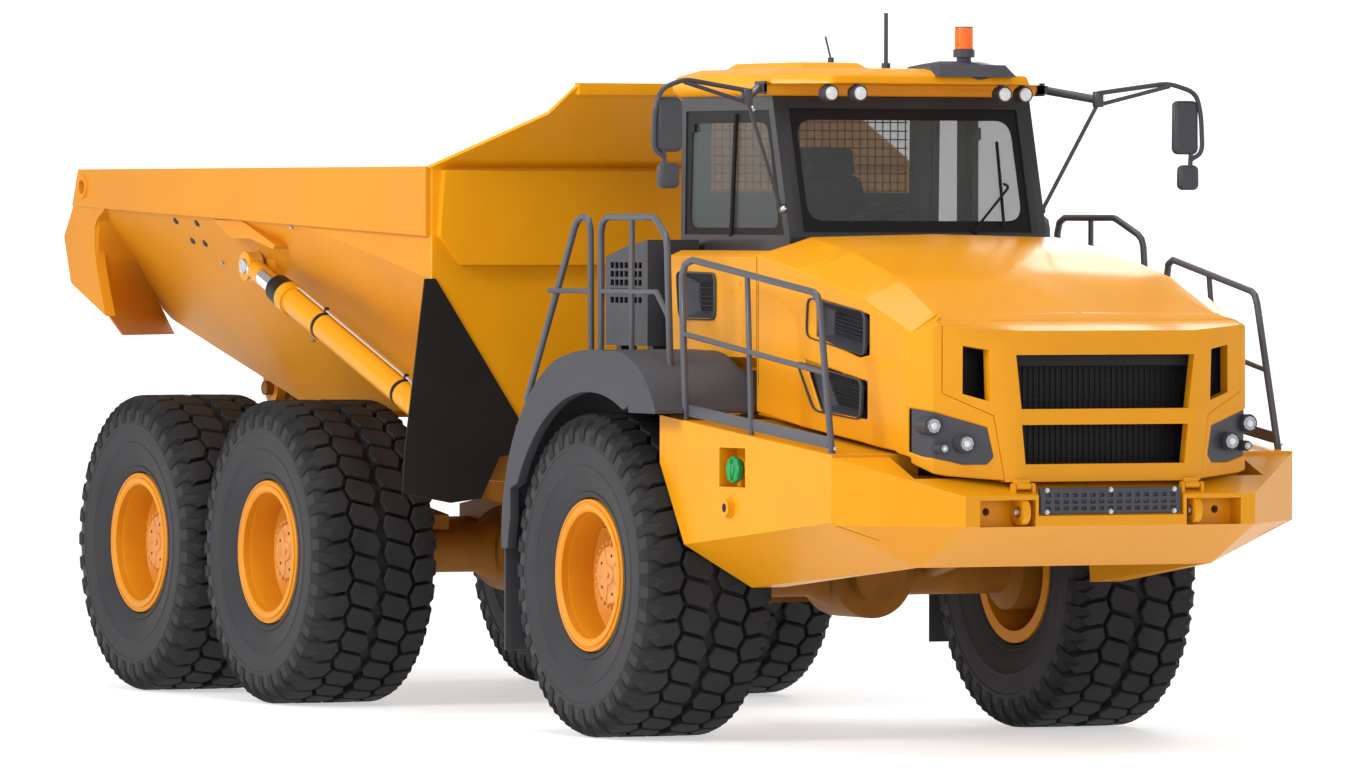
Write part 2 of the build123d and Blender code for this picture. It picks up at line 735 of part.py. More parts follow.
def grille_panel():
    """Grille frame: two wide openings, two raked side openings and the hinge tabs."""
    body = nose_form(0) - nose_form(GRILLE_T)
    body = body & prism(grille_outline(0), GRILLE_SIDE_X - 60, GRILLE_X + 10, "X")
    for top_half, low_half, top, low in OPENINGS:
        shape = [(top_half, top), (low_half, low), (-low_half, low), (-top_half, top)]
        body -= prism(shape, GRILLE_X - 200, GRILLE_X + 10, "X")
    side = [(834, 2263), (699, 2239), (691, 1956), (835, 1999)]
    cut = prism(side, GRILLE_SIDE_X - 200, GRILLE_X + 10, "X")
    body = body - cut - other_side(cut)
    tab = block((GRILLE_X - 20, BONNET_HINGE_X), TAB_Y, (BONNET_HINGE_Z - 8, 1530))
    tab += disc(BONNET_HINGE_X, TAB_Y, BONNET_HINGE_Z, 18)
    tab -= disc(BONNET_HINGE_X, (TAB_Y[0] - 5, TAB_Y[1] + 5), BONNET_HINGE_Z, HINGE_PIN_R + PIN_GAP)
    return joined(body, tab, other_side(tab))


LAMP_CORNERS = [
    # y, z of the bezel's outline
    (1165, 1905),
    (1065, 1925),
    (705, 1815),
    (672, 1650),
    (705, 1612),
    (830, 1612),
    (1010, 1655),
    (1165, 1750),
]
LAMP_REAR_X = GRILLE_X - 335
LAMPS = [
    # x of the glass, y, z, radius
    (GRILLE_X - 150, 995, 1824, 52),
    (GRILLE_X - 65, 834, 1727, 52),
    (GRILLE_X - 100, 955, 1700, 30),
]


def headlamp_opening():
    return prism(LAMP_CORNERS, LAMP_REAR_X, GRILLE_X, "X")


def headlamps():
    """Dark bezels let into the nose's corners, each with three round lamps."""
    bezel = (nose_form(6) - nose_form(70)) & headlamp_opening()
    bezel = bezel - prism(grille_outline(2), LAMP_REAR_X - 10, GRILLE_X, "X")
    left = bezel & block((LAMP_REAR_X, GRILLE_X), (0, 1400), (1400, 2200))
    for x, y, z, radius in LAMPS:
        left = joined(left, disc((x - 110, x), y, z, radius, "X"))
    return both(left)


# ---- front unit: body sides, fenders, rails -------------------------------------------
VENT_S = [(-45.0, 2648.0), (420.0, 2640.0), (420.0, 2390.0), (-10.0, 2390.0)]
SIDE_LOW_Z = 2175.0
SIDE_STEP_Y = 1010.0


def body_side(doorway):
    """Panel beside the cab: shoulder, outer face, inward fold and lower wall."""
    outer = [
        (CAB_HALF + SEAT, 2775),
        (1040, 2775),
        (PANEL_Y, 2740),
        (PANEL_Y, SIDE_LOW_Z),
        (SIDE_STEP_Y, SIDE_LOW_Z - 60),
        (SIDE_STEP_Y, 1865),
        (SIDE_STEP_Y - 40, 1865),
        (SIDE_STEP_Y - 40, SIDE_LOW_Z - 20),
        (PANEL_Y - 40, SIDE_LOW_Z + 20),
        (PANEL_Y - 40, 2730),
        (CAB_HALF + SEAT, 2735),
    ]
    panel = prism(outer, PANEL_REAR_X, BONNET_REAR_X - SEAT - 5, "X")
    panel -= prism(VENT_S, 1050, 1200)
    panel -= prism([(0, 2092), (705, 2092), (705, 1958), (130, 1950)], 900, 1060)
    rake = [(PANEL_REAR_X - 5, 2800), (PANEL_REAR_X - 5, 1800), (-120, 1800), (-120, 2250), (-190, 2800)]
    panel -= prism(rake, 700, 1300)
    foot = block((PANEL_REAR_X + 140, 900), (RAIL_OUT + 10, SIDE_STEP_Y - 10), (1862, 1890))
    foot += block((300, 420), (RAIL_OUT - 60, RAIL_OUT - 20), (RAIL_TOP + SEAT, 1870))
    foot += block((300, 420), (RAIL_OUT - 60, RAIL_OUT + 60), (1840, 1870))
    panel = joined(panel, foot)
    if doorway:
        panel -= block((PANEL_REAR_X - 10, 720), (CAB_HALF - 10, 1300), (2300, 2900))
    return panel


def body_sides():
    return Compound(children=[other_side(body_side(False)), body_side(True)])


ARCH_X = 90.0
ARCH_Z = 900.0
ARCH_R = 1070.0
FENDER_OUT = 1770.0
FENDER_IN = SIDE_STEP_Y + SEAT
FENDER_SKIN = 40.0
FENDER_LOW_Z = 1050.0
FLAP_LOW_Z = 460.0


def fender_outline(inset):
    """Closed side outline of the fender down to the arch's foot, moved inwards."""
    rear = -1050 + inset
    curve = ThreePointArc(
        (rear, 0, 1195),
        (-825 + inset * 0.8, 0, 1795 - inset * 0.6),
        (-330 + inset * 0.3, 0, 2153 - inset),
    )
    top = ThreePointArc(
        (-330 + inset * 0.3, 0, 2153 - inset), (0, 0, 2206 - inset), (330, 0, 2206 - inset)
    )
    front = ThreePointArc((330, 0, 2206 - inset), (713, 0, 2121 - inset), (940 - inset, 0, 1880))
    base = Polyline(
        (940 - inset, 0, 1880), (940 - inset, 0, FENDER_LOW_Z), (rear, 0, FENDER_LOW_Z), (rear, 0, 1195)
    )
    return make_face([curve, top, front, base])


def fender_block(inset):
    """The fender as a full block, for what stands on it."""
    body = extrude(fender_outline(inset), FENDER_OUT - FENDER_IN, dir=(0, 1, 0))
    return Pos(0, FENDER_IN, 0) * body


def fender_body():
    """Outer lip, rounded top skin and rear flap of one front fender."""
    skin = fender_block(0)
    cave = extrude(fender_outline(FENDER_SKIN), FENDER_OUT - 60 - FENDER_IN + 50, dir=(0, 1, 0))
    skin -= Pos(0, FENDER_IN - 50, 0) * cave
    skin -= disc(ARCH_X, (FENDER_IN - 10, FENDER_OUT + 10), ARCH_Z, ARCH_R)
    skin -= prism([(-930, 1000), (-930, 1400), (600, 1900), (600, 1000)], FENDER_IN - 10, FENDER_OUT + 10)
    skin -= block((BOX_REAR_X - 140, 1100), (FENDER_IN - 10, FENDER_OUT + 10), (1000, BOX_REAR_TOP + 12))
    skin -= block((PANEL_REAR_X - 20, 1000), (FENDER_IN - 10, PANEL_Y + SEAT), (2100, 2300))
    skin -= block((BONNET_REAR_X - 12, 1000), (FENDER_IN - 10, PANEL_Y + 8), (1800, 2300))
    flap = block((-1050, -1034), (FENDER_IN + 20, FENDER_OUT - 20), (FLAP_LOW_Z, FENDER_LOW_Z + 30))
    stay = block((-420, -340), (RAIL_OUT + SEAT, FENDER_IN + 30), (2060, 2100))
    stay += block((-420, -340), (RAIL_OUT + SEAT, RAIL_OUT + 50), (RAIL_LOW + 200, 2100))
    return joined(skin, flap, stay)


def fenders():
    return both(fender_body())


RAIL_BEND = 90.0
GRIP_Z = 2965.0               # top of the deck rails
KNEE_Z = 2540.0
DECK_RAIL_Y = FENDER_OUT - 280
POST_R = TUBE_R * 0.8


def ladder_rail():
    """Grab rail from the fender's rear edge up to the deck."""
    y = DECK_RAIL_Y
    rail = tube(
        [(-790, FENDER_OUT - 35, 1900), (-600, y + 10, GRIP_Z), (-450, y + 2, GRIP_Z), (-440, y, 2060)],
        TUBE_R,
        RAIL_BEND - 20,
    )
    return rail + tube([(-712, FENDER_OUT - 138, KNEE_Z), (-443, y + 1, KNEE_Z)], POST_R)


def deck_rail():
    """Rail along the deck beside the cab, down to the fender in front of the door."""
    y = DECK_RAIL_Y
    rail = tube(
        [
            (-317, y, 2120),
            (-317, y, GRIP_Z),
            (369, y, GRIP_Z),
            (622, y + 47, GRIP_Z - 115),
            (700, y + 60, 1990),
        ],
        TUBE_R,
        RAIL_BEND,
    )
    rail += tube([(85, y + 1, 2150), (85, y + 1, GRIP_Z)], POST_R)
    return rail + tube([(-317, y, KNEE_Z), (400, y + 2, KNEE_Z), (660, y + 55, KNEE_Z - 140)], POST_R)


def walkway_rail():
    """Rail and toe board along the top of a side box."""

    def foot(x, inwards):
        return (x, box_side_y(x) - inwards, box_top_z(x) - 20)

    rail = tube(
        [
            foot(930, 24),
            (853, box_side_y(853) - 46, 2740),
            (CORNER_X - 295, box_side_y(CORNER_X - 295) - 98, 2545),
            foot(CORNER_X - 78, 51),
        ],
        TUBE_R,
        RAIL_BEND,
    )
    rail += tube([foot(1600, 38), (1500, box_side_y(1500) - 71, 2650)], POST_R)
    rail += tube([(885, 1567, 2310), (CORNER_X - 195, 1400, 2110)], POST_R)
    board = []
    for x, low in ((905, 1850), (CORNER_X - 105, 1695)):
        y = box_side_y(x) - 50
        board.append((x, [(y, low), (y + 12, low), (y + 12, low + 65), (y, low + 65)]))
    return joined(rail, section_loft(board))


def handrail_set():
    """The three rails of one side as separate solids, cut to stand on what carries them."""
    tank_top = prism(
        [
            (BOX_REAR_X, BOX_REAR_TOP + SEAT),
            (CORNER_X, CORNER_TOP + SEAT),
            (CORNER_X, 1400),
            (BOX_REAR_X, 1400),
        ],
        1200,
        1700,
    )
    ground = fender_block(-SEAT) + tank_top
    return [rail - ground for rail in (ladder_rail(), deck_rail(), walkway_rail())]


def handrails():
    pieces = handrail_set()
    return Compound(children=pieces + [other_side(piece) for piece in pieces])


def cooler_guard():
    """Guarded box behind the right body side, with rows of slots in its outer face."""
    shape = [(-845, 2225), (-845, 2735), (-560, 2800), (-300, 2835), (-300, 2225)]
    box = prism(shape, -1200, -870)
    room = [(-820, 2250), (-820, 2715), (-555, 2778), (-325, 2805), (-325, 2250)]
    box -= prism(room, -1188, -895)
    for x in range(-780, -360, 60):
        for z in range(2470, 2700, 50):
            box -= block((x, x + 44), (-1210, -1180), (z, z + 34))
    legs = block((-400, -330), (-1150, -1050), (2000, 2226))
    legs += block((-800, -740), (-1150, -1050), (1700, 2226))
    return joined(box, legs - other_side(fender_block(-SEAT)))


# ---- cab -----------------------------------------------------------------------------
CAB_SIDE = [
    (CAB_REAR_X, CAB_FLOOR_Z),
    (740.0, CAB_FLOOR_Z),
    (762.0, 2850.0),
    (540.0, CAB_TOP_Z),
    (CAB_REAR_X + 20, CAB_TOP_Z),
]
SCREEN_HALF = 735.0
SCREEN_LOW_Z = 2880.0
REAR_WINDOW = ((-660.0, 660.0), (3110.0, WINDOW_TOP_Z))
RIGHT_WINDOW = [
    (-560.0, 2865.0),
    (690.0, 2865.0),
    (500.0, WINDOW_TOP_Z - 10),
    (-545.0, WINDOW_TOP_Z - 10),
]
QUARTER_WINDOW = [
    (-560.0, 2890.0),
    (-250.0, 2890.0),
    (-250.0, WINDOW_TOP_Z - 20),
    (-545.0, WINDOW_TOP_Z - 20),
]
DOOR_SHAPE = [
    (DOOR_REAR_X, 2385.0),
    (655.0, 2385.0),
    (668.0, 2860.0),
    (478.0, WINDOW_TOP_Z + 5),
    (DOOR_REAR_X, WINDOW_TOP_Z + 5),
]
DOOR_WINDOW = [
    (DOOR_REAR_X + 60, 2760.0),
    (612.0, 2760.0),
    (612.0, 2860.0),
    (440.0, WINDOW_TOP_Z - 60),
    (DOOR_REAR_X + 60, WINDOW_TOP_Z - 60),
]
DOOR_T = 40.0
DOOR_HINGE_X = DOOR_REAR_X - 4
DOOR_HINGE_Y = CAB_HALF + 16
DOOR_PIN_R = 7.0
DOOR_HINGES = [2520.0, WINDOW_TOP_Z - 135]
DOOR_KNUCKLE = 36.0           # half the height of the leaf's part of a hinge


def grown(points, margin):
    """Convex outline moved outwards from its middle by about the margin."""
    cx = sum(x for x, _ in points) / len(points)
    cz = sum(z for _, z in points) / len(points)
    return [
        (x + margin * math.copysign(1, x - cx), z + margin * math.copysign(1, z - cz))
        for x, z in points
    ]


def screen_slab(front, back):
    """Slab parallel to the windscreen, from one depth to another inside the cab."""
    low, high = CAB_SIDE[2], CAB_SIDE[3]
    points = [
        (low[0] - back, low[1]),
        (low[0] - front, low[1]),
        (high[0] - front, high[1]),
        (high[0] - back, high[1]),
    ]
    return points


def cab_shell():
    """Floor, walls and pillars of the cab with every window and the doorway cut."""
    shell = prism(CAB_SIDE, -CAB_HALF, CAB_HALF)
    room = [
        (CAB_REAR_X + CAB_WALL, CAB_FLOOR_Z + CAB_WALL),
        (740 - CAB_WALL, CAB_FLOOR_Z + CAB_WALL),
        (762 - CAB_WALL, 2850),
        (540 - CAB_WALL, CAB_TOP_Z - CAB_WALL),
        (CAB_REAR_X + 20 + CAB_WALL, CAB_TOP_Z - CAB_WALL),
    ]
    shell -= prism(room, -CAB_HALF + CAB_WALL, CAB_HALF - CAB_WALL)
    shell -= block((400, 900), (-SCREEN_HALF, SCREEN_HALF), (SCREEN_LOW_Z, WINDOW_TOP_Z))
    shell -= block((CAB_REAR_X - 10, CAB_REAR_X + 80), *REAR_WINDOW)
    shell -= prism(RIGHT_WINDOW, -CAB_HALF - 10, -CAB_HALF + 60)
    shell -= prism(QUARTER_WINDOW, CAB_HALF - 60, CAB_HALF + 10)
    shell -= prism(grown(DOOR_SHAPE, DOOR_GAP), CAB_HALF - 60, CAB_HALF + 10)
    for x in (-400, 500):
        shell += block((x, x + 90), (-RAIL_OUT, RAIL_OUT), (CAB_FLOOR_Z - 130, CAB_FLOOR_Z))
    for x, y in ((-500, 430), (-500, -490), (560, 430), (560, -490)):
        low = RAIL_TOP + SEAT
        shell += block((x, x + 90), (y, y + 60), (low, CAB_FLOOR_Z))
    for z in DOOR_HINGES:
        near = DOOR_KNUCKLE + RUN_GAP
        for low, high in ((z - near - 14, z - near), (z + near, z + near + 14)):
            shell += block((DOOR_HINGE_X - 50, DOOR_HINGE_X), (CAB_HALF - 2, CAB_HALF + 28), (low, high))
            shell += disc(DOOR_HINGE_X, DOOR_HINGE_Y, (low, high), 13)
        shell += disc(DOOR_HINGE_X, DOOR_HINGE_Y, (z - 50, z + 50), DOOR_PIN_R)
    return shell


def cab_glass():
    """Windscreen, right side window, quarter window and rear window panes."""
    screen = prism(screen_slab(18, 18 + GLASS_T), -SCREEN_HALF - 10, SCREEN_HALF + 10)
    height = (SCREEN_LOW_Z + SEAT, WINDOW_TOP_Z - SEAT)
    screen &= block((400, 900), (-SCREEN_HALF + SEAT, SCREEN_HALF - SEAT), height)
    right = prism(grown(RIGHT_WINDOW, -SEAT), -CAB_HALF + 12, -CAB_HALF + 12 + GLASS_T)
    quarter = prism(grown(QUARTER_WINDOW, -SEAT), CAB_HALF - 12 - GLASS_T, CAB_HALF - 12)
    (y0, y1), (z0, z1) = REAR_WINDOW
    rear = block(
        (CAB_REAR_X + 24, CAB_REAR_X + 24 + GLASS_T), (y0 + SEAT, y1 - SEAT), (z0 + SEAT, z1 - SEAT)
    )
    return Compound(children=[screen, right, quarter, rear])


ROOF_PLAN = [
    # x, y of the roof's left edge, from the rear to the brow's middle
    (-700.0, 800.0),
    (-620.0, ROOF_HALF),
    (601.0, ROOF_HALF - 8),
    (905.0, 640.0),
    (925.0, 420.0),
]


def plan_ring(points, shrink):
    left = [(x - math.copysign(shrink, x), y - shrink) for x, y in points]
    return left + [(x, -y) for x, y in reversed(left)]


def cab_roof():
    """Moulded roof cap: overhanging brow, sloping edge and a raised hump on the right."""
    widest = CAB_TOP_Z + 45
    body = section_loft(
        [
            (CAB_TOP_Z + SEAT, plan_ring(ROOF_PLAN, 30)),
            (widest, plan_ring(ROOF_PLAN, 0)),
            (widest + 70, plan_ring(ROOF_PLAN, 18)),
            (ROOF_EDGE_Z, plan_ring(ROOF_PLAN, 130)),
        ],
        "Z",
    )
    hump = section_loft(
        [
            (ROOF_EDGE_Z - 12, [(-480, -640), (520, -640), (520, -160), (-480, -160)]),
            (ROOF_TOP_Z, [(-420, -580), (430, -580), (430, -220), (-420, -220)]),
        ],
        "Z",
    )
    return joined(body, hump) - block((560, 1000), (-1000, 1000), (CAB_TOP_Z - 55, BROW_LOW_Z))


def cab_door():
    """Left door, hinged at its rear edge, with its window cut and its handle."""
    leaf = prism(DOOR_SHAPE, CAB_HALF - DOOR_T, CAB_HALF)
    leaf -= prism(DOOR_WINDOW, CAB_HALF - 100, CAB_HALF + 10)
    leaf += bar((560, CAB_HALF + 30, 2600), (560, CAB_HALF + 30, 2740), 12)
    for z in (2606, 2734):
        leaf += bar((560, CAB_HALF - 10, z), (560, CAB_HALF + 32, z), 10)
    for z in DOOR_HINGES:
        height = (z - DOOR_KNUCKLE, z + DOOR_KNUCKLE)
        leaf += block((DOOR_HINGE_X, DOOR_REAR_X + 50), (CAB_HALF + 8, CAB_HALF + 22), height)
        leaf += block((DOOR_REAR_X + 8, DOOR_REAR_X + 50), (CAB_HALF - 2, CAB_HALF + 10), height)
        leaf += disc(DOOR_HINGE_X, DOOR_HINGE_Y, height, 13)
        leaf -= disc(DOOR_HINGE_X, DOOR_HINGE_Y, (z - 40, z + 40), DOOR_PIN_R + PIN_GAP)
    return leaf


def door_glass():
    return prism(grown(DOOR_WINDOW, -SEAT), CAB_HALF - 24, CAB_HALF - 24 + GLASS_T)


def cab_interior():
    """Seat on its pedestal, dash with the steering wheel, and the side console."""
    floor = CAB_FLOOR_Z + CAB_WALL + SEAT
    pedestal = block((-260, 60), (-200, 120), (floor, floor + 240))
    cushion = block((-330, 170), (-280, 200), (floor + 240, floor + 370))
    back = section_loft(
        [
            (floor + 330, [(-330, -270), (-170, -270), (-170, 190), (-330, 190)]),
            (floor + 800, [(-430, -240), (-310, -240), (-310, 160), (-430, 160)]),
            (floor + 960, [(-450, -170), (-350, -170), (-350, 90), (-450, 90)]),
        ],
        "Z",
    )
    dash = prism(
        [(470, floor), (690, floor), (690, 2840), (600, 2900), (470, 2800)], -700, 700
    )
    column = bar((520, -40, 2700), (330, -40, 2900), 32)
    wheel = Plane((330, -40, 2905), z_dir=(-190, 0, 200)) * (
        Cylinder(210, 26) - Cylinder(180, 40) + Box(380, 40, 16) + Cylinder(50, 30)
    )
    console = block((-260, 240), (-520, -330), (floor, floor + 420))
    return Compound(children=[joined(pedestal, cushion, back), joined(dash, column, wheel), console])


MIRROR_Z = CAB_TOP_Z + 45     # height of the bracket that carries the mirror's arms


def mirrors():
    """Tube arms and struts from the roof's corners with a large and a small mirror."""
    plate_y = ROOF_HALF + SEAT
    bracket = block((470, 590), (plate_y, plate_y + 14), (MIRROR_Z - 36, MIRROR_Z + 38))
    bracket += tube([(545, plate_y + 30, MIRROR_Z), (816, 1131, MIRROR_Z - 58)], 24)
    bracket += block((520, 590), (plate_y, plate_y + 34), (MIRROR_Z - 24, MIRROR_Z + 24))
    bracket += disc(816, 1131, (MIRROR_Z - 100, MIRROR_Z - 10), 32)
    arm = tube(
        [
            (816, 1131, MIRROR_Z - 20),
            (880, 1560, MIRROR_Z + 40),
            (913, 1722, MIRROR_Z - 14),
            (905, 1745, MIRROR_Z - 140),
            (912, 1700, MIRROR_Z - 370),
        ],
        14,
        45,
    )
    lower = tube([(816, 1131, MIRROR_Z - 88), (890, 1560, MIRROR_Z + 22)], 12)
    strut = tube([(816, 1125, MIRROR_Z - 88), (680, CAB_HALF + 16, 3014)], 12)
    strut += block((660, 700), (CAB_HALF + SEAT, CAB_HALF + 22), (2990, 3040))
    big = block((862, 912), (1580, 1752), (MIRROR_Z - 370, MIRROR_Z - 60))
    small = block((880, 925), (1600, 1750), (MIRROR_Z - 575, MIRROR_Z - 430))
    link = tube([(895, 1700, MIRROR_Z - 355), (900, 1690, MIRROR_Z - 460)], 14)
    return both(joined(bracket, arm, lower, strut, big, small, link))


ROOF_LAMPS = [(873.0, 625.0), (920.0, 465.0)]


def roof_lights():
    """Work lamps under the brow, beacon with its stalk, and the two aerials."""
    pieces = []
    for x, y in ROOF_LAMPS:
        lamp = disc((x - 70, x), y, BROW_LOW_Z - 54, 46, "X")
        lamp += block((x - 60, x - 30), (y - 12, y + 12), (BROW_LOW_Z - 54, BROW_LOW_Z - SEAT))
        pieces += [lamp, other_side(lamp)]
    beacon = joined(
        *[
            disc(735, 300, (ROOF_EDGE_Z + low, ROOF_EDGE_Z + high), radius)
            for low, high, radius in ((-32, 68, 42), (68, 113, 62), (113, 243, 52))
        ]
    )
    aerial = disc(350, 0, (ROOF_EDGE_Z + SEAT, ROOF_TOP_Z), 26)
    aerial += disc(350, 0, (ROOF_TOP_Z, ROOF_TOP_Z + 287), 12)
    short = disc(300, -330, (ROOF_TOP_Z + SEAT, ROOF_TOP_Z + 30), 18)
    short += bar((300, -330, ROOF_TOP_Z + 20), (270, -350, ROOF_TOP_Z + 150), 6)
    cover = section_loft(
        [
            (ROOF_EDGE_Z - 47, [(640, 20), (960, 20), (960, 520), (640, 520)]),
            (ROOF_EDGE_Z + 23, [(680, 60), (900, 60), (900, 480), (680, 480)]),
        ],
        "Z",
    )
    cover = joined(beacon, cover) - Pos(0, 0, SEAT) * cab_roof()
    return Compound(children=pieces + [cover, aerial, short])


# ---- hitch and rear chassis -----------------------------------------------------------
REAR_RAIL_FRONT = -2150.0
REAR_RAIL_REAR = -6900.0


def hitch():
    """Knuckle on the articulation pin, steering arms and the oscillation tube."""
    reach = HITCH_GAP_H / 2 - RUN_GAP
    knuckle = disc(HITCH_X, 0, (HITCH_Z - reach, HITCH_Z + reach), EAR_R - 15)
    yoke = section_loft(
        [
            (HITCH_X - 60, rectangle((-150, 150), (HITCH_Z - 230, HITCH_Z + 230))),
            (SWIVEL_X0, rectangle((-230, 230), (HITCH_Z - 200, HITCH_Z + 200))),
        ]
    )
    swivel = disc((SWIVEL_X1, SWIVEL_X0), 0, HITCH_Z, SWIVEL_R, "X")
    cap = disc((SWIVEL_X1 - 40, SWIVEL_X1), 0, HITCH_Z, SWIVEL_R + 40, "X")
    arm = prism(
        [
            (SWIVEL_X0 + 10, 190),
            (HITCH_X - 100, 150),
            (STEER_EYE_X + 50, STEER_EYE_Y + 50),
            (STEER_EYE_X - 50, STEER_EYE_Y + 50),
            (STEER_EYE_X - 50, STEER_EYE_Y - 40),
        ],
        STEER_ARM_Z,
        STEER_ARM_Z + 30,
        "Z",
    )
    pin = disc(STEER_EYE_X, STEER_EYE_Y, (STEER_ARM_Z, STEER_ARM_Z + 44), STEER_PIN_R)
    body = joined(knuckle, yoke, swivel, cap, arm, other_side(arm), pin, other_side(pin))
    bore = disc(HITCH_X, 0, (HITCH_Z - 400, HITCH_Z + 400), HITCH_PIN_R + PIN_GAP)
    return body - bore


def rear_frame():
    """Two deep rails from the swivel ring to the dump pivot, with the hoist outriggers."""
    ring = disc((RING_X1, RING_X0), 0, HITCH_Z, RING_R, "X")
    side = [
        (RING_X1 + 60, HITCH_Z - 210),
        (REAR_RAIL_FRONT - 250, RAIL_LOW - 90),
        (-3300, RAIL_LOW),
        (REAR_RAIL_REAR, RAIL_LOW + 130),
        (REAR_RAIL_REAR, 1610),
        (-3300, 1560),
        (-2300, 1500),
        (RING_X1 + 60, HITCH_Z + 230),
    ]
    rail = prism(side, 330, 450)
    neck = section_loft(
        [
            (RING_X1 + 60, rectangle((200, 450), (HITCH_Z - 210, HITCH_Z + 230))),
            (RING_X1 - 10, rectangle((330, 450), (HITCH_Z - 190, HITCH_Z + 240))),
        ]
    )
    pieces = [ring, rail, other_side(rail), neck, other_side(neck)]
    pieces.append(block((RING_X1 - 60, RING_X1 + 60), (-450, 450), (HITCH_Z + 215, HITCH_Z + 330)))
    for x in (-2750, -3700, -5300, -6850):
        pieces.append(block((x, x + 130), (-340, 340), (1330, 1480)))
    arm = section_loft(
        [
            (440, [(-2600, 1330), (-2370, 1330), (-2370, 1500), (-2600, 1500)]),
            (HOIST_Y - 94, [(-2560, 1430), (-2375, 1430), (-2375, 1600), (-2560, 1600)]),
        ],
        "Y",
    )
    ear = disc(HOIST_BASE_X, (HOIST_Y - 150, HOIST_Y - 92), HOIST_BASE_Z, 80)
    ear += block(
        (HOIST_BASE_X - 80, HOIST_BASE_X + 80), (HOIST_Y - 150, HOIST_Y - 92), (1440, HOIST_BASE_Z)
    )
    pin = disc(HOIST_BASE_X, (HOIST_Y - 130, HOIST_Y + 62), HOIST_BASE_Z, HOIST_PIN_R)
    lug = disc(DUMP_X, (500, 560), DUMP_Z, 110)
    lug += prism(
        [(DUMP_X - 110, DUMP_Z), (DUMP_X + 110, DUMP_Z), (DUMP_X + 260, 1560), (REAR_RAIL_REAR, 1560)],
        500,
        560,
    )
    lug += block((REAR_RAIL_REAR, DUMP_X + 260), (440, 560), (1400, 1600))
    for piece in (arm, ear, pin, lug):
        pieces += [piece, other_side(piece)]
    pieces.append(disc(DUMP_X, (-DUMP_PIN_Y, DUMP_PIN_Y), DUMP_Z, DUMP_PIN_R))
    body = joined(*pieces)
    return body - disc((RING_X1 - 5, RING_X0 + 5), 0, HITCH_Z, SWIVEL_R + PIN_GAP, "X")


DUMP_PIN_Y = BIN_EAR_Y + BIN_EAR_T + 20


def rear_axles():
    return Compound(children=[axle(MIDDLE_AXLE_X), axle(REAR_AXLE_X)])


BEAM_Y = 640.0
BOGIE_X = (MIDDLE_AXLE_X + REAR_AXLE_X) / 2


def walking_beams():
    """Rocking beams that carry both rear axles at their ends and pivot on the frame."""
    low = TYRE_R + AXLE_TUBE_R - 12
    side = [
        (REAR_AXLE_X - 130, low),
        (MIDDLE_AXLE_X + 130, low),
        (MIDDLE_AXLE_X + 130, low + 90),
        (BOGIE_X + 220, low + 210),
        (BOGIE_X - 220, low + 210),
        (REAR_AXLE_X - 130, low + 90),
    ]
    beam = prism(side, BEAM_Y - 80, BEAM_Y + 80)
    pivot = disc(BOGIE_X, (450 + SEAT, BEAM_Y + 100), low + 170, 130)
    beam = joined(beam, pivot)
    for x in (MIDDLE_AXLE_X, REAR_AXLE_X):
        beam -= disc(x, (BEAM_Y - 90, BEAM_Y + 90), TYRE_R, AXLE_TUBE_R + SEAT)
    return both(beam)


def driveshafts():
    """Shaft from the hitch to the middle axle and between the two rear axles."""
    nose = MIDDLE_AXLE_X + DIFF_R + 40 + SEAT
    tail = MIDDLE_AXLE_X - DIFF_R - 90 - SEAT
    last = REAR_AXLE_X + DIFF_R + 40 + SEAT
    front = bar((SWIVEL_X1 - 130, 0, HITCH_Z - 30), (nose + 60, 0, TYRE_R), 60)
    front += disc((nose, nose + 110), 0, TYRE_R, 82, "X")
    middle = disc((last, tail), 0, TYRE_R, 55, "X") + disc((last, last + 60), 0, TYRE_R, 82, "X")
    middle += disc((tail - 60, tail), 0, TYRE_R, 82, "X")
    return Compound(children=[front, middle])


# ---- bin -----------------------------------------------------------------------------
BIN_STATIONS = [
    # x, crease z, half width of the floor, underside of the floor
    (BIN_FRONT_X, 2600.0, 1010.0, 1665.0),
    (-4100.0, 2905.0, 930.0, 1775.0),
    (-5700.0, 2960.0, 905.0, 1805.0),
    (-7100.0, 3010.0, 905.0, 2150.0),
    (-7900.0, 3035.0, 905.0, 2350.0),
]


def bin_outline(crease, floor_half, floor_z, inset):
    """Section of the bin's tub; the inset gives its load space, open at the top."""
    top = BIN_TOP_Z + (200 if inset else 0)
    wall = BIN_HALF - BAND_T - inset
    lift = inset * 1.15
    half = [(wall, top), (wall, crease + inset * 0.4), (floor_half - inset * 0.55, floor_z + lift)]
    return half + [(-y, z) for y, z in reversed(half)]


def bin_form(inset):
    stations = []
    for x, crease, half, low in BIN_STATIONS:
        place = x + 10 if inset and x == BIN_FRONT_X else x
        stations.append((place, bin_outline(crease, half, low, inset)))
    return section_loft(stations)


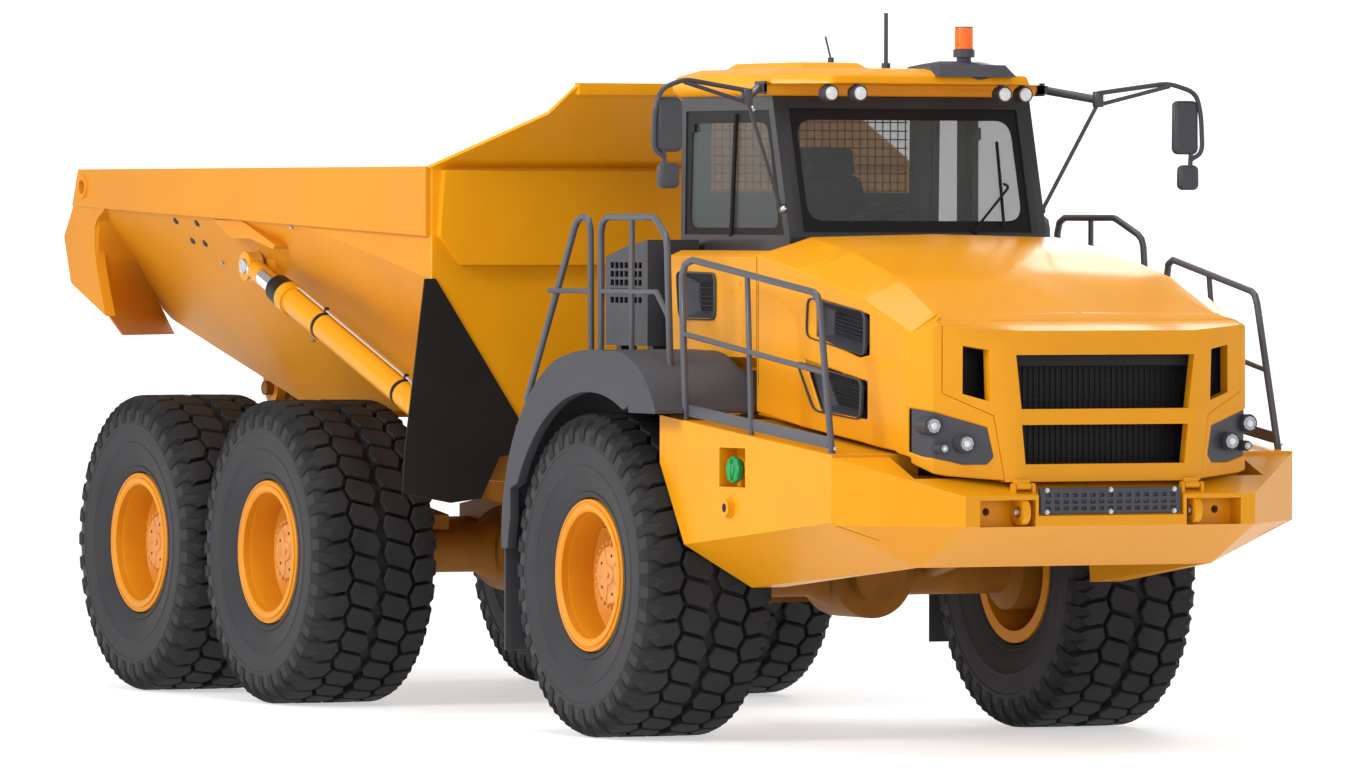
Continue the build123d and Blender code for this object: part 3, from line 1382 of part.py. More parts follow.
BIN_TAIL = [
    # x, z of the tail's outline from the rim down to the chute's lip
    (-7517.0, BIN_TOP_Z),
    (-7613.0, 3030.0),
    (-REAR_REACH, 2838.0),
    (-7650.0, 2540.0),
    (-7090.0, 2334.0),
]
COLLAR_INNER = [
    # x, z of the collar's inner edge from its lower tip up to the rim's band
    (-7164.0, 2479.0),
    (-7228.0, 2624.0),
    (-7271.0, 2772.0),
    (-7271.0, 2898.0),
    (-7213.0, 2960.0),
    (-7122.0, 3000.0),
    (-7110.0, 3075.0),
]
TAIL_FLARE = [
    # z, then x, y where the flare leaves the collar and x, y where it meets the wall
    (3040.0, (-7150.0, 1625.0), (-7190.0, 1590.0)),
    (2950.0, (-7240.0, 1625.0), (-7221.0, 1562.0)),
    (2687.0, (-7256.0, 1625.0), (-7333.0, 1328.0)),
    (2360.0, (-7113.0, 1625.0), (-7700.0, 990.0)),
    (2210.0, (-7300.0, 1430.0), (-7720.0, 900.0)),
]
FLARE_T = 28.0
TAIL_INSET = 12.0             # the walls end this far inside the collar that edges them


def bin_tub():
    """Floor and side walls, box band along the rim, tail collar, bolsters and pivots."""
    tub = bin_form(0) - bin_form(BIN_WALL)
    core = bin_form(BIN_WALL / 2)
    tail = [(x + TAIL_INSET, z) for x, z in BIN_TAIL[:3]]
    end = TAIL_INSET * 2 - REAR_REACH
    tail = [(tail[0][0], 3500)] + tail + [(end, 2600), (end, 2200), (-8200, 2200), (-8200, 3500)]
    tub -= prism(tail, -2000, 2000)
    band_shape = [
        (BIN_FRONT_X, BIN_TOP_Z),
        (BIN_FRONT_X, 2851),
        (BIN_TAIL[1][0], BIN_TAIL[1][1]),
        (BIN_TAIL[0][0], BIN_TOP_Z),
    ]
    band = prism(band_shape, BIN_HALF - 95, BIN_HALF)
    collar = prism(
        [(-7565, 3075), (-7628, 3010)] + BIN_TAIL[2:] + COLLAR_INNER,
        BIN_HALF - 75,
        BIN_HALF - 8,
    )
    boss = disc(BOSS_X, (BIN_HALF - 90, BIN_HALF + 12), BOSS_Z, BOSS_R + 26)
    ear = disc(DUMP_X, (BIN_EAR_Y - BIN_EAR_T / 2, BIN_EAR_Y + BIN_EAR_T / 2), DUMP_Z, 100)
    ear += prism(
        [(DUMP_X - 100, DUMP_Z), (DUMP_X + 100, DUMP_Z), (DUMP_X + 300, 2150), (DUMP_X - 260, 2290)],
        BIN_EAR_Y - BIN_EAR_T / 2,
        BIN_EAR_Y + BIN_EAR_T / 2,
    )
    pieces = [tub]
    for piece in (band, collar, boss, ear - core, hoist_shroud() - core, tail_flare() - core):
        pieces += [piece, other_side(piece)]
    for x in (-3000, -3750, -4500, -5250):
        low = floor_underside(x)
        pieces.append(block((x - 60, x + 60), (-880, 880), (low - 45, low + 12)))
    body = joined(*pieces)
    boss_bore = disc(BOSS_X, (BIN_HALF - 120, BIN_HALF + 20), BOSS_Z, BOSS_R)
    body -= boss_bore + other_side(boss_bore)
    body -= disc(DUMP_X, (-DUMP_PIN_Y - 10, DUMP_PIN_Y + 10), DUMP_Z, DUMP_PIN_R + PIN_GAP)
    return body


def tail_flare():
    """Folded plate that closes the corner between the side wall and the tail's collar."""
    sections = []
    for z, (x0, y0), (x1, y1) in TAIL_FLARE:
        root = y1 - BIN_WALL / 2
        sections.append((z, [(x0, y0), (x1, root), (x1 - FLARE_T, root), (x0 - FLARE_T, y0)]))
    return section_loft(sections, "Z")


def floor_underside(x):
    """Height of the floor's underside at a place along the bin."""
    for (x0, _, _, z0), (x1, _, _, z1) in zip(BIN_STATIONS, BIN_STATIONS[1:]):
        if x1 <= x <= x0:
            return z0 + (z1 - z0) * (x - x0) / (x1 - x0)
    raise ValueError("no floor there")


def hoist_shroud():
    """Folded bracket on the bin's wall that holds the hoist rod's pin from inboard."""
    cheek = prism(
        [(-5440, 2915), (-4880, 2890), (-4860, 2600), (-5050, 2545), (-5330, 2650)],
        HOIST_Y - 150,
        HOIST_Y - 72,
    )
    roof = prism(
        [(-5460, 2945), (-5060, 2945), (-4540, 2790), (-4570, 2765), (-4920, 2830), (-5200, 2830)],
        HOIST_Y - 150,
        HOIST_Y + 75,
    )
    return cheek + roof


def bin_front():
    """Front wall, raised band across it and the headboard that leans over the cab."""
    outline = bin_outline(*BIN_STATIONS[0][1:], 0)
    wall = prism(outline, BIN_FRONT_X + SEAT, BIN_FRONT_X + SEAT + BIN_WALL, "X")
    face = BIN_FRONT_X + SEAT + BIN_WALL
    half = [(BIN_HALF - 90, BIN_TOP_Z - 22), (BIN_HALF - 60, 2850), (BIN_HALF - 210, 2680)]
    band = prism(half + [(-y, z) for y, z in reversed(half)], face - 1, face + 55, "X")
    slope = HEADBOARD_TIP_X - face
    rise = HEADBOARD_TIP_Z - BIN_TOP_Z

    def corner(y, part):
        return (face - 6 + slope * part, y, BIN_TOP_Z - 12 + rise * part)

    # y and the share of the headboard's slope at each corner of its left half
    half = [(BIN_HALF - 10, 0.0), (BIN_HALF - 620, 0.66), (BIN_HALF - 720, 1.0)]
    ring = half + [(-y, part) for y, part in reversed(half)]
    low = make_face(Polyline(*[corner(y, part) for y, part in ring], close=True))
    normal = Vector(-rise, 0, slope).normalized()
    plate = extrude(low, HEADBOARD_T, dir=normal)
    lip = block(
        (HEADBOARD_TIP_X - 60, HEADBOARD_TIP_X),
        (-BIN_HALF + 725, BIN_HALF - 725),
        (HEADBOARD_TIP_Z - 62, HEADBOARD_TIP_Z + 8),
    )
    return joined(wall, band, plate, lip)


def bin_flaps():
    """Rubber sheets bolted to the front wall's lower corners, ahead of the rear wheels."""
    x = BIN_FRONT_X + SEAT + BIN_WALL + SEAT
    outline = [
        # y, z from the sheet's tip down its inner edge, along its foot and up outside
        (BIN_HALF + 22, 2600),
        (BIN_HALF - 50, 2600),
        (1030, 1733),
        (1073, 1733),
        (1100, 1560),
        (1180, 1545),
        (1300, 1300),
        (1500, 1275),
        (BIN_HALF + 165, 1335),
        (BIN_HALF + 150, 1600),
    ]
    return both(prism(outline, x, x + FLAP_T, "X"))


# ---- cylinders -----------------------------------------------------------------------
def along(start, end, distance):
    """Point on the line from start towards end, at a distance from start."""
    line = Vector(*end) - Vector(*start)
    point = Vector(*start) + line.normalized() * distance
    return (point.X, point.Y, point.Z)


HOIST_BASE = (HOIST_BASE_X, HOIST_Y, HOIST_BASE_Z)
HOIST_EYE = (HOIST_EYE_X, HOIST_Y, HOIST_EYE_Z)


def hoist_barrel():
    """Barrel with its base eye, gland ring and a hollow bore for the rod."""
    body = bar(along(HOIST_BASE, HOIST_EYE, 60), along(HOIST_BASE, HOIST_EYE, HOIST_RING), HOIST_BARREL_R)
    body += bar(
        along(HOIST_BASE, HOIST_EYE, HOIST_RING - 90),
        along(HOIST_BASE, HOIST_EYE, HOIST_RING),
        HOIST_BARREL_R + 14,
    )
    body += bar(
        along(HOIST_BASE, HOIST_EYE, HOIST_RING - 10),
        along(HOIST_BASE, HOIST_EYE, HOIST_GLAND),
        HOIST_BARREL_R - 8,
    )
    body += disc(HOIST_BASE_X, (HOIST_Y - 48, HOIST_Y + 48), HOIST_BASE_Z, HOIST_EYE_R)
    body -= disc(HOIST_BASE_X, (HOIST_Y - 60, HOIST_Y + 60), HOIST_BASE_Z, HOIST_PIN_R + PIN_GAP)
    body -= bar(
        along(HOIST_BASE, HOIST_EYE, HOIST_BORE),
        along(HOIST_BASE, HOIST_EYE, HOIST_GLAND + 10),
        HOIST_ROD_R + PIN_GAP,
    )
    return body


def hoist_rod():
    """Rod with its eye head and the pin that the eye carries."""
    length = (Vector(*HOIST_EYE) - Vector(*HOIST_BASE)).length
    start = along(HOIST_BASE, HOIST_EYE, HOIST_BORE + 10)
    body = bar(start, along(HOIST_BASE, HOIST_EYE, length - 40), HOIST_ROD_R)
    body += bar(
        along(HOIST_BASE, HOIST_EYE, HOIST_GLAND + 12), along(HOIST_BASE, HOIST_EYE, length - 40), 60
    )
    body += disc(HOIST_EYE_X, (HOIST_Y - 40, HOIST_Y + 48), HOIST_EYE_Z, HOIST_EYE_R)
    body += disc(HOIST_EYE_X, (HOIST_Y - 66, HOIST_Y + 64), HOIST_EYE_Z, HOIST_PIN_R + 8)
    return body


STEER_BASE = (STEER_BASE_X, STEER_BASE_Y, STEER_Z)
STEER_EYE = (STEER_EYE_X, STEER_EYE_Y, STEER_Z)


def steer_barrel():
    """Barrel with its base eye and a hollow bore for the rod."""
    body = bar(along(STEER_BASE, STEER_EYE, 35), along(STEER_BASE, STEER_EYE, STEER_GLAND), STEER_BARREL_R)
    body += disc(STEER_BASE_X, STEER_BASE_Y, (STEER_Z - 45, STEER_Z + 45), STEER_EYE_R)
    body -= disc(STEER_BASE_X, STEER_BASE_Y, (STEER_Z - 60, STEER_Z + 60), STEER_PIN_R + PIN_GAP)
    body -= bar(
        along(STEER_BASE, STEER_EYE, 80),
        along(STEER_BASE, STEER_EYE, STEER_GLAND + 10),
        STEER_ROD_R + PIN_GAP,
    )
    return body


def steer_rod():
    """Rod with its eye, and the lower part of the pin that hangs it under the hitch's arm."""
    length = (Vector(*STEER_EYE) - Vector(*STEER_BASE)).length
    start = along(STEER_BASE, STEER_EYE, STEER_ROD_END)
    body = bar(start, along(STEER_BASE, STEER_EYE, length - 30), STEER_ROD_R)
    body += disc(STEER_EYE_X, STEER_EYE_Y, (STEER_Z - 45, STEER_Z + 45), STEER_EYE_R)
    body += disc(STEER_EYE_X, STEER_EYE_Y, (STEER_Z - 58, STEER_ARM_Z - PIN_GAP), STEER_PIN_R + 8)
    return body


# ---- all pieces ----------------------------------------------------------------------
def wheel_places():
    """Name, x and side (+1 left, -1 right) of each wheel."""
    axles = (("front", FRONT_AXLE_X), ("middle", MIDDLE_AXLE_X), ("rear", REAR_AXLE_X))
    return [
        (f"{axle_name}_{side_name}", x, side)
        for axle_name, x in axles
        for side_name, side in (("left", 1), ("right", -1))
    ]


def all_pieces():
    pieces = {
        "front_frame": front_frame(),
        "front_axle": front_axle(),
        "engine_block": engine(),
        "radiator": radiator(),
        "front_bumper": front_bumper(),
        "bumper_step": bumper_step(),
        "side_boxes": side_boxes(),
        "body_sides": body_sides(),
        "fenders": fenders(),
        "handrails": handrails(),
        "cooler_guard": cooler_guard(),
        "cab_shell": cab_shell(),
        "cab_roof": cab_roof(),
        "cab_glass": cab_glass(),
        "cab_interior": cab_interior(),
        "mirrors": mirrors(),
        "roof_lights": roof_lights(),
        "bonnet": bonnet(),
        "grille_panel": grille_panel(),
        "headlamps": headlamps(),
        "cab_door": cab_door(),
        "door_glass": door_glass(),
        "hitch": hitch(),
        "rear_frame": rear_frame(),
        "rear_axles": rear_axles(),
        "walking_beams": walking_beams(),
        "driveshafts": driveshafts(),
        "bin_tub": bin_tub(),
        "bin_front": bin_front(),
        "bin_flaps": bin_flaps(),
    }
    for name, left in (
        ("hoist_barrel", hoist_barrel()),
        ("hoist_rod", hoist_rod()),
        ("steer_barrel", steer_barrel()),
        ("steer_rod", steer_rod()),
    ):
        pieces[f"{name}_left"] = left
        pieces[f"{name}_right"] = other_side(left)
    left_tyre, left_rim = tyre(), rim()
    for name, x, side in wheel_places():
        place = Pos(x, side * WHEEL_Y, TYRE_R)
        pieces[f"tyre_{name}"] = place * left_tyre
        pieces[f"rim_{name}"] = place * (left_rim if side > 0 else other_side(left_rim))
    return pieces


def main():
    os.makedirs("parts", exist_ok=True)
    for name, piece in all_pieces().items():
        export_step(Pos(ORIGIN_SHIFT, 0, 0) * piece, f"parts/{name}.step")


main()
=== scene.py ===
import bpy
import bmesh
import json
import math
from mathutils import Matrix, Vector
from mathutils.bvhtree import BVHTree


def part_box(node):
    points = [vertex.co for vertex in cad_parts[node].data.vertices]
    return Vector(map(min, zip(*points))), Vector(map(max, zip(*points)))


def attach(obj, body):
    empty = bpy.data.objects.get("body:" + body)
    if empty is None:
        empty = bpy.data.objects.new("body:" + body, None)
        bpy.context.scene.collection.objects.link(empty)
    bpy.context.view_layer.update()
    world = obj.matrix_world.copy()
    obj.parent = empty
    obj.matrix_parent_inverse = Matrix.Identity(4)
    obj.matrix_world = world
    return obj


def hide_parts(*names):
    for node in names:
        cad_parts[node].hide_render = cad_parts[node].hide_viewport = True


# Articulated dump truck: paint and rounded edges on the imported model's nodes, and pieces of
# its own for tread, bolts, lamps, vents, glass borders and seat.
# Lengths are metres. "Truck" places are (x, y, z) with x counted forward from the front
# axle, y to the left and z up; at() turns them into the frame's own places.

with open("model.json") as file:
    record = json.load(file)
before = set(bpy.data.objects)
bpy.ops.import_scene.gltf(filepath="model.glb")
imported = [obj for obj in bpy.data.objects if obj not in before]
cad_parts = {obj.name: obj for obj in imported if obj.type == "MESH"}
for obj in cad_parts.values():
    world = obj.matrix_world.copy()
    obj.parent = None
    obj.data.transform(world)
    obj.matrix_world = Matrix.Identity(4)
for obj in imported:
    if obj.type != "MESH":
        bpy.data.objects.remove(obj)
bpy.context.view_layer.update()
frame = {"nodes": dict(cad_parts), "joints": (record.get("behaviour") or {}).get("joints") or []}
NODES = frame["nodes"]
JOINTS = {joint["name"]: joint for joint in frame["joints"]}
AXLE_X = JOINTS["wheel_front_left_spin"]["pos_m"][0]
SIDES = ((1, "left"), (-1, "right"))


def at(x, y, z):
    """Frame place of a truck place."""
    return Vector((x + AXLE_X, y, z))


def here(x, y, z):
    """Place that stays as it is, for meshes in their own axes."""
    return Vector((x, y, z))


def add_object(name, data):
    """New object in the scene."""
    thing = bpy.data.objects.new(name, data)
    bpy.context.scene.collection.objects.link(thing)
    return thing


# ---- camera and light ----
CAMERA_PLACE = (51.8595, -27.1681, 2.9572)
CAMERA_AZIMUTH, CAMERA_ELEVATION, CAMERA_ROLL = 63.3745, 0.9792, 0.1053  # degrees
CAMERA_LENS = 270.58     # mm on a 36 mm sensor
CAMERA_REACH = 700.0     # the far wall is nearer than this


def make_camera():
    """The view from the front right, far off with a long lens."""
    angles = (CAMERA_AZIMUTH, CAMERA_ELEVATION, CAMERA_ROLL)
    azimuth, elevation, roll = (math.radians(a) for a in angles)
    back = Vector((
        math.sin(azimuth) * math.cos(elevation),
        -math.cos(azimuth) * math.cos(elevation),
        math.sin(elevation),
    ))
    right = (-back).cross(Vector((0, 0, 1))).normalized()
    up = right.cross(-back)
    side = math.cos(roll) * right + math.sin(roll) * up
    top = -math.sin(roll) * right + math.cos(roll) * up
    data = bpy.data.cameras.new("camera")
    data.sensor_width = 36
    data.lens = CAMERA_LENS
    data.clip_end = CAMERA_REACH
    camera = add_object("camera", data)
    turn = Matrix((side, top, back)).transposed().to_4x4()
    camera.matrix_world = Matrix.Translation(at(*CAMERA_PLACE)) @ turn
    bpy.context.scene.camera = camera


LIGHTS = [
    # name, place, target, size, watts
    ("overhead", (0.0, -2.0, 13.0), (-1.5, 0.0, 1.0), 9.0, 1000.0),
    ("right", (2.0, -17.0, 11.0), (-1.5, -1.0, 1.8), 6.0, 2300.0),
    ("front", (20.0, -4.0, 8.0), (1.5, 0.0, 1.8), 5.0, 500.0),
    ("rear_left", (-14.0, 13.0, 9.0), (-3.0, 0.0, 2.0), 8.0, 900.0),
]
WORLD_LIGHT = 0.42


def make_lights():
    """Four soft lamps and an even white world."""
    for name, place, target, size, watts in LIGHTS:
        data = bpy.data.lights.new(name, "AREA")
        data.size = size
        data.energy = watts
        lamp = add_object(name, data)
        lamp.location = at(*place)
        aim = at(*target) - at(*place)
        lamp.rotation_euler = aim.to_track_quat("-Z", "Y").to_euler()
    world = bpy.data.worlds.new("studio")
    bpy.context.scene.world = world
    world.use_nodes = True
    sky = world.node_tree.nodes["Background"]
    sky.inputs["Color"].default_value = (1, 1, 1, 1)
    sky.inputs["Strength"].default_value = WORLD_LIGHT
    bpy.context.scene.view_settings.view_transform = "Standard"
    bpy.context.scene.view_settings.look = "None"


# ---- materials ----
COAT_ROUGHNESS = 0.08
GRAIN_HEIGHT = 0.002


def surface(
    name, color, roughness, metallic=0.0, coat=0.0, specular=0.3, alpha=1.0, glow=0.0,
    spread=0.06, spread_scale=3.0, grain=0.0, grain_scale=400.0, rough_spread=0.06,
):
    """Principled material: its colour and roughness vary by noise, with a fine bump.

    spread is the share by which the colour varies, grain the strength of the bump.
    """
    material = bpy.data.materials.new(name)
    material.use_nodes = True
    tree = material.node_tree
    shader = tree.nodes["Principled BSDF"]
    shader.inputs["Metallic"].default_value = metallic
    shader.inputs["Specular IOR Level"].default_value = specular
    shader.inputs["Coat Weight"].default_value = coat
    shader.inputs["Coat Roughness"].default_value = COAT_ROUGHNESS
    shader.inputs["Alpha"].default_value = alpha
    if glow:
        shader.inputs["Emission Color"].default_value = (*color, 1)
        shader.inputs["Emission Strength"].default_value = glow
    place = tree.nodes.new("ShaderNodeTexCoord")
    broad = tree.nodes.new("ShaderNodeTexNoise")
    broad.inputs["Scale"].default_value = spread_scale
    broad.inputs["Detail"].default_value = 5
    tree.links.new(place.outputs["Object"], broad.inputs["Vector"])
    ramp = tree.nodes.new("ShaderNodeValToRGB")
    deep, pale = ramp.color_ramp.elements
    deep.position, pale.position = 0.3, 0.7
    deep.color = (*[c * (1 - spread) for c in color], 1)
    pale.color = (*[min(1, c * (1 + spread)) for c in color], 1)
    tree.links.new(broad.outputs["Fac"], ramp.inputs["Fac"])
    tree.links.new(ramp.outputs["Color"], shader.inputs["Base Color"])
    span = tree.nodes.new("ShaderNodeMapRange")
    span.inputs["To Min"].default_value = max(0.02, roughness - rough_spread)
    span.inputs["To Max"].default_value = min(1, roughness + rough_spread)
    tree.links.new(broad.outputs["Fac"], span.inputs["Value"])
    tree.links.new(span.outputs["Result"], shader.inputs["Roughness"])
    if grain:
        fine = tree.nodes.new("ShaderNodeTexNoise")
        fine.inputs["Scale"].default_value = grain_scale
        fine.inputs["Detail"].default_value = 3
        tree.links.new(place.outputs["Object"], fine.inputs["Vector"])
        bump = tree.nodes.new("ShaderNodeBump")
        bump.inputs["Strength"].default_value = grain
        bump.inputs["Distance"].default_value = GRAIN_HEIGHT
        tree.links.new(fine.outputs["Fac"], bump.inputs["Height"])
        tree.links.new(bump.outputs["Normal"], shader.inputs["Normal"])
    return material


YELLOW = surface(
    "yellow_paint", (0.68, 0.275, 0.004), 0.34,
    coat=0.10, specular=0.16, spread=0.03, grain=0.05, grain_scale=90,
)
TUB = surface(
    "bin_paint", (0.62, 0.235, 0.010), 0.45,
    specular=0.12, spread=0.07, spread_scale=1.2, grain=0.08,
)
# Body yellow darkened as painted shade for the frames, axles, hitch and beams, which sit in shadow
# under the truck; the wide noise spread is a random tone
SHADED_CHASSIS = surface(
    "chassis_painted_shade", (0.27, 0.105, 0.010), 0.55,
    specular=0.15, spread=0.22, grain=0.2, grain_scale=60,
)
RIM = surface(
    "rim_paint", (0.66, 0.245, 0.010), 0.42,
    specular=0.2, spread=0.05, grain=0.08, grain_scale=80,
)
HUB = surface(
    "hub_paint", (0.62, 0.250, 0.060), 0.45,
    spread=0.12, spread_scale=14, grain=0.2, grain_scale=90,
)
RUBBER = surface(
    "tyre_rubber", (0.017, 0.017, 0.018), 0.7,
    specular=0.2, spread=0.3, grain=0.35, grain_scale=140,
)
SIDEWALL = surface(
    "tyre_sidewall", (0.032, 0.032, 0.035), 0.6,
    specular=0.2, spread=0.12, grain=0.2, grain_scale=120,
)
FLAP = surface("flap_rubber", (0.010, 0.008, 0.006), 0.6, specular=0.2, spread=0.15, grain=0.2)
FENDER = surface(
    "fender_plastic", (0.045, 0.045, 0.053), 0.55,
    spread=0.08, grain=0.3, grain_scale=300,
)
DARK = surface(
    "dark_paint", (0.045, 0.045, 0.055), 0.42,
    coat=0.1, spread=0.08, grain=0.1, grain_scale=200,
)
RAIL = surface(
    "rail_paint", (0.075, 0.075, 0.090), 0.42,
    coat=0.1, spread=0.08, grain=0.1, grain_scale=200,
)
CAB = surface("cab_paint", (0.027, 0.027, 0.031), 0.38, coat=0.15, spread=0.06, grain=0.06)
BLACK = surface("black_trim", (0.007, 0.007, 0.008), 0.5, specular=0.2, spread=0.1, grain=0.1)
SCREEN = surface("screen_wire", (0.012, 0.012, 0.013), 0.55, specular=0.2, spread=0.1, grain=0.1)
STEEL = surface("bare_steel", (0.55, 0.55, 0.56), 0.35, metallic=1.0, spread=0.1, grain=0.1)
CHROME = surface("chrome", (0.85, 0.85, 0.87), 0.12, metallic=1.0, spread=0.02)
LENS = surface("lamp_lens", (0.62, 0.64, 0.67), 0.12, coat=0.6, spread=0.18, spread_scale=90)
SILVER = surface(
    "reflector", (0.32, 0.33, 0.35), 0.25,
    metallic=0.7, spread=0.25, spread_scale=70,
)
AMBER = surface(
    "amber_lens", (0.85, 0.13, 0.01), 0.2,
    coat=0.5, glow=0.15, spread=0.15, spread_scale=25,
)
GREEN = surface(
    "green_plastic", (0.010, 0.25, 0.06), 0.4,
    spread=0.15, spread_scale=20, grain=0.2,
)
GLASS = surface(
    "window_glass", (0.10, 0.115, 0.115), 0.04,
    alpha=0.30, coat=0.2, spread=0.02, rough_spread=0.01,
)
TRIM = surface("cab_trim", (0.030, 0.030, 0.034), 0.6, spread=0.08, grain=0.3, grain_scale=300)
CLOTH = surface(
    "seat_cloth", (0.020, 0.020, 0.024), 0.9,
    spread=0.2, spread_scale=40, grain=0.6, grain_scale=700,
)

FINISH = {
    "front_frame": SHADED_CHASSIS, "front_axle": SHADED_CHASSIS, "engine_block": DARK, "radiator": BLACK,
    "front_bumper": YELLOW, "bumper_step": DARK, "side_boxes": YELLOW, "body_sides": YELLOW,
    "fenders": FENDER, "handrails": RAIL, "cooler_guard": DARK, "cab_shell": CAB,
    "cab_roof": YELLOW, "cab_glass": GLASS, "cab_interior": TRIM, "mirrors": DARK,
    "roof_lights": DARK, "bonnet": YELLOW, "grille_panel": YELLOW, "headlamps": DARK,
    "cab_door": CAB, "door_glass": GLASS, "hitch": SHADED_CHASSIS, "rear_frame": SHADED_CHASSIS,
    "rear_axles": SHADED_CHASSIS, "walking_beams": SHADED_CHASSIS, "driveshafts": DARK, "bin_tub": TUB,
    "bin_front": YELLOW, "bin_flaps": FLAP, "hoist_barrel": YELLOW, "steer_barrel": YELLOW,
    "hoist_rod": CHROME, "steer_rod": CHROME, "rim": RIM, "tyre": RUBBER,
}
BEVELS = {
    # node: width of its rounded edges
    "front_bumper": 0.012, "side_boxes": 0.016, "body_sides": 0.010, "fenders": 0.012,
    "cab_shell": 0.012, "cab_roof": 0.016, "bonnet": 0.010, "grille_panel": 0.009,
    "bin_tub": 0.006, "bin_front": 0.006, "front_frame": 0.006, "rear_frame": 0.006,
    "hitch": 0.010, "walking_beams": 0.010, "cab_door": 0.008, "cooler_guard": 0.008,
    "headlamps": 0.004, "cab_interior": 0.015, "bin_flaps": 0.003, "bumper_step": 0.006,
}
TUBULAR = ("handrails", "roof_lights")
LOOSE_BEVELS = ("bonnet", "cab_roof")     # their short edges would hold the bevel back
SHARP, TUBE_SHARP = math.radians(35), math.radians(55)
BEVEL_FROM = math.radians(28)
WELD_REACH = 0.00005


def smoothing(name, limit):
    """Geometry nodes that shade a mesh smooth but for edges over an angle."""
    group = bpy.data.node_groups.new(name, "GeometryNodeTree")
    for way in ("INPUT", "OUTPUT"):
        group.interface.new_socket("Geometry", in_out=way, socket_type="NodeSocketGeometry")
    start = group.nodes.new("NodeGroupInput")
    end = group.nodes.new("NodeGroupOutput")
    faces = group.nodes.new("GeometryNodeSetShadeSmooth")
    edges = group.nodes.new("GeometryNodeSetShadeSmooth")
    edges.domain = "EDGE"
    angle = group.nodes.new("GeometryNodeInputMeshEdgeAngle")
    below = group.nodes.new("FunctionNodeCompare")
    below.operation = "LESS_EQUAL"
    below.inputs["B"].default_value = limit
    group.links.new(start.outputs[0], faces.inputs["Geometry"])
    group.links.new(faces.outputs[0], edges.inputs["Geometry"])
    group.links.new(angle.outputs["Unsigned Angle"], below.inputs["A"])
    group.links.new(below.outputs["Result"], edges.inputs["Shade Smooth"])
    group.links.new(edges.outputs[0], end.inputs[0])
    return group


def dress_nodes():
    """Paint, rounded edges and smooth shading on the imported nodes, by modifiers alone."""
    plain = smoothing("smooth_plain", SHARP)
    tubes = smoothing("smooth_tubes", TUBE_SHARP)
    for name, thing in NODES.items():
        stems = (name, name.rsplit("_", 1)[0], name.rsplit("_", 2)[0])
        finish = next(FINISH[stem] for stem in stems if stem in FINISH)
        if not thing.material_slots:
            thing.data.materials.append(finish)
        for slot in thing.material_slots:
            slot.material = finish
        weld = thing.modifiers.new("weld", "WELD")
        weld.merge_threshold = WELD_REACH
        if name in BEVELS:
            bevel = thing.modifiers.new("bevel", "BEVEL")
            bevel.width = BEVELS[name]
            bevel.segments = 2
            bevel.limit_method = "ANGLE"
            bevel.angle_limit = BEVEL_FROM
            bevel.use_clamp_overlap = name not in LOOSE_BEVELS
        shade = thing.modifiers.new("shade", "NODES")
        shade.node_group = tubes if name in TUBULAR or name in BEVELS else plain
        thing.modifiers.new("weight", "WEIGHTED_NORMAL").keep_sharp = True


# ---- mesh helpers ----
def mesh_from(name, form, materials, limit):
    """Mesh of a bmesh, shaded smooth but for edges over an angle."""
    mesh = bpy.data.meshes.new(name)
    bmesh.ops.recalc_face_normals(form, faces=form.faces)
    form.to_mesh(mesh)
    form.free()
    for material in materials:
        mesh.materials.append(material)
    mesh.polygons.foreach_set("use_smooth", [True] * len(mesh.polygons))
    mesh.set_sharp_from_angle(angle=limit)
    return mesh


def new_piece(name, form, materials, body="front_body", hides=(), limit=SHARP):
    """Object from a bmesh, in the frame's place, riding on a CAD body."""
    if not isinstance(materials, list):
        materials = [materials]
    thing = add_object(name, mesh_from(name, form, materials, limit))
    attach(thing, body)
    if hides:
        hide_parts(*hides)
    return thing


def add_rings(form, rings, slots=0, caps=(False, False), to=at):
    """Skin over closed outlines with the same number of places."""
    rows = [[form.verts.new(to(*p)) for p in ring] for ring in rings]
    count = len(rows[0])
    bands = slots if isinstance(slots, (list, tuple)) else [slots] * (len(rows) + 1)
    for band, (low, high) in enumerate(zip(rows, rows[1:])):
        for k in range(count):
            n = (k + 1) % count
            form.faces.new((low[k], low[n], high[n], high[k])).material_index = bands[band + 1]
    if caps[0]:
        form.faces.new(list(reversed(rows[0]))).material_index = bands[0]
    if caps[1]:
        form.faces.new(rows[-1]).material_index = bands[-1]


def add_solid(form, rings, slot=0, to=at):
    """Closed body through outlines, capped at both ends."""
    add_rings(form, rings, slot, (True, True), to)


def turns(count, phase=0.0):
    """Angles of equal steps round a circle."""
    return [2 * math.pi * (k + phase) / count for k in range(count)]


def lathe(form, profile, centre, way, sides=20, slot=0, to=at, lobes=(0, 0.0)):
    """Body of revolution from (distance along the way, radius) pairs, capped at both ends.

    lobes is how many waves the outline has and their height as a share of the radius.
    """
    centre = Vector(centre)
    way = Vector(way).normalized()
    first = way.orthogonal().normalized()
    second = way.cross(first)
    rings = []
    for along, radius in profile:
        ring = []
        for angle in turns(sides):
            reach = radius * (1 + lobes[1] * math.cos(lobes[0] * angle))
            outward = first * math.cos(angle) + second * math.sin(angle)
            ring.append(centre + way * along + outward * reach)
        rings.append(ring)
    add_solid(form, rings, slot, to)


def add_box(form, low, high, slot=0, to=at):
    """Box between two opposite corners."""
    (x0, y0, z0), (x1, y1, z1) = low, high
    base = [(x0, y0), (x1, y0), (x1, y1), (x0, y1)]
    add_solid(form, [[(x, y, z) for x, y in base] for z in (z0, z1)], slot, to)


def add_rod(form, start, end, radius, sides=12, slot=0, to=at):
    """Straight round bar between two places."""
    line = Vector(end) - Vector(start)
    lathe(form, [(0, radius), (line.length, radius)], start, line, sides, slot, to)


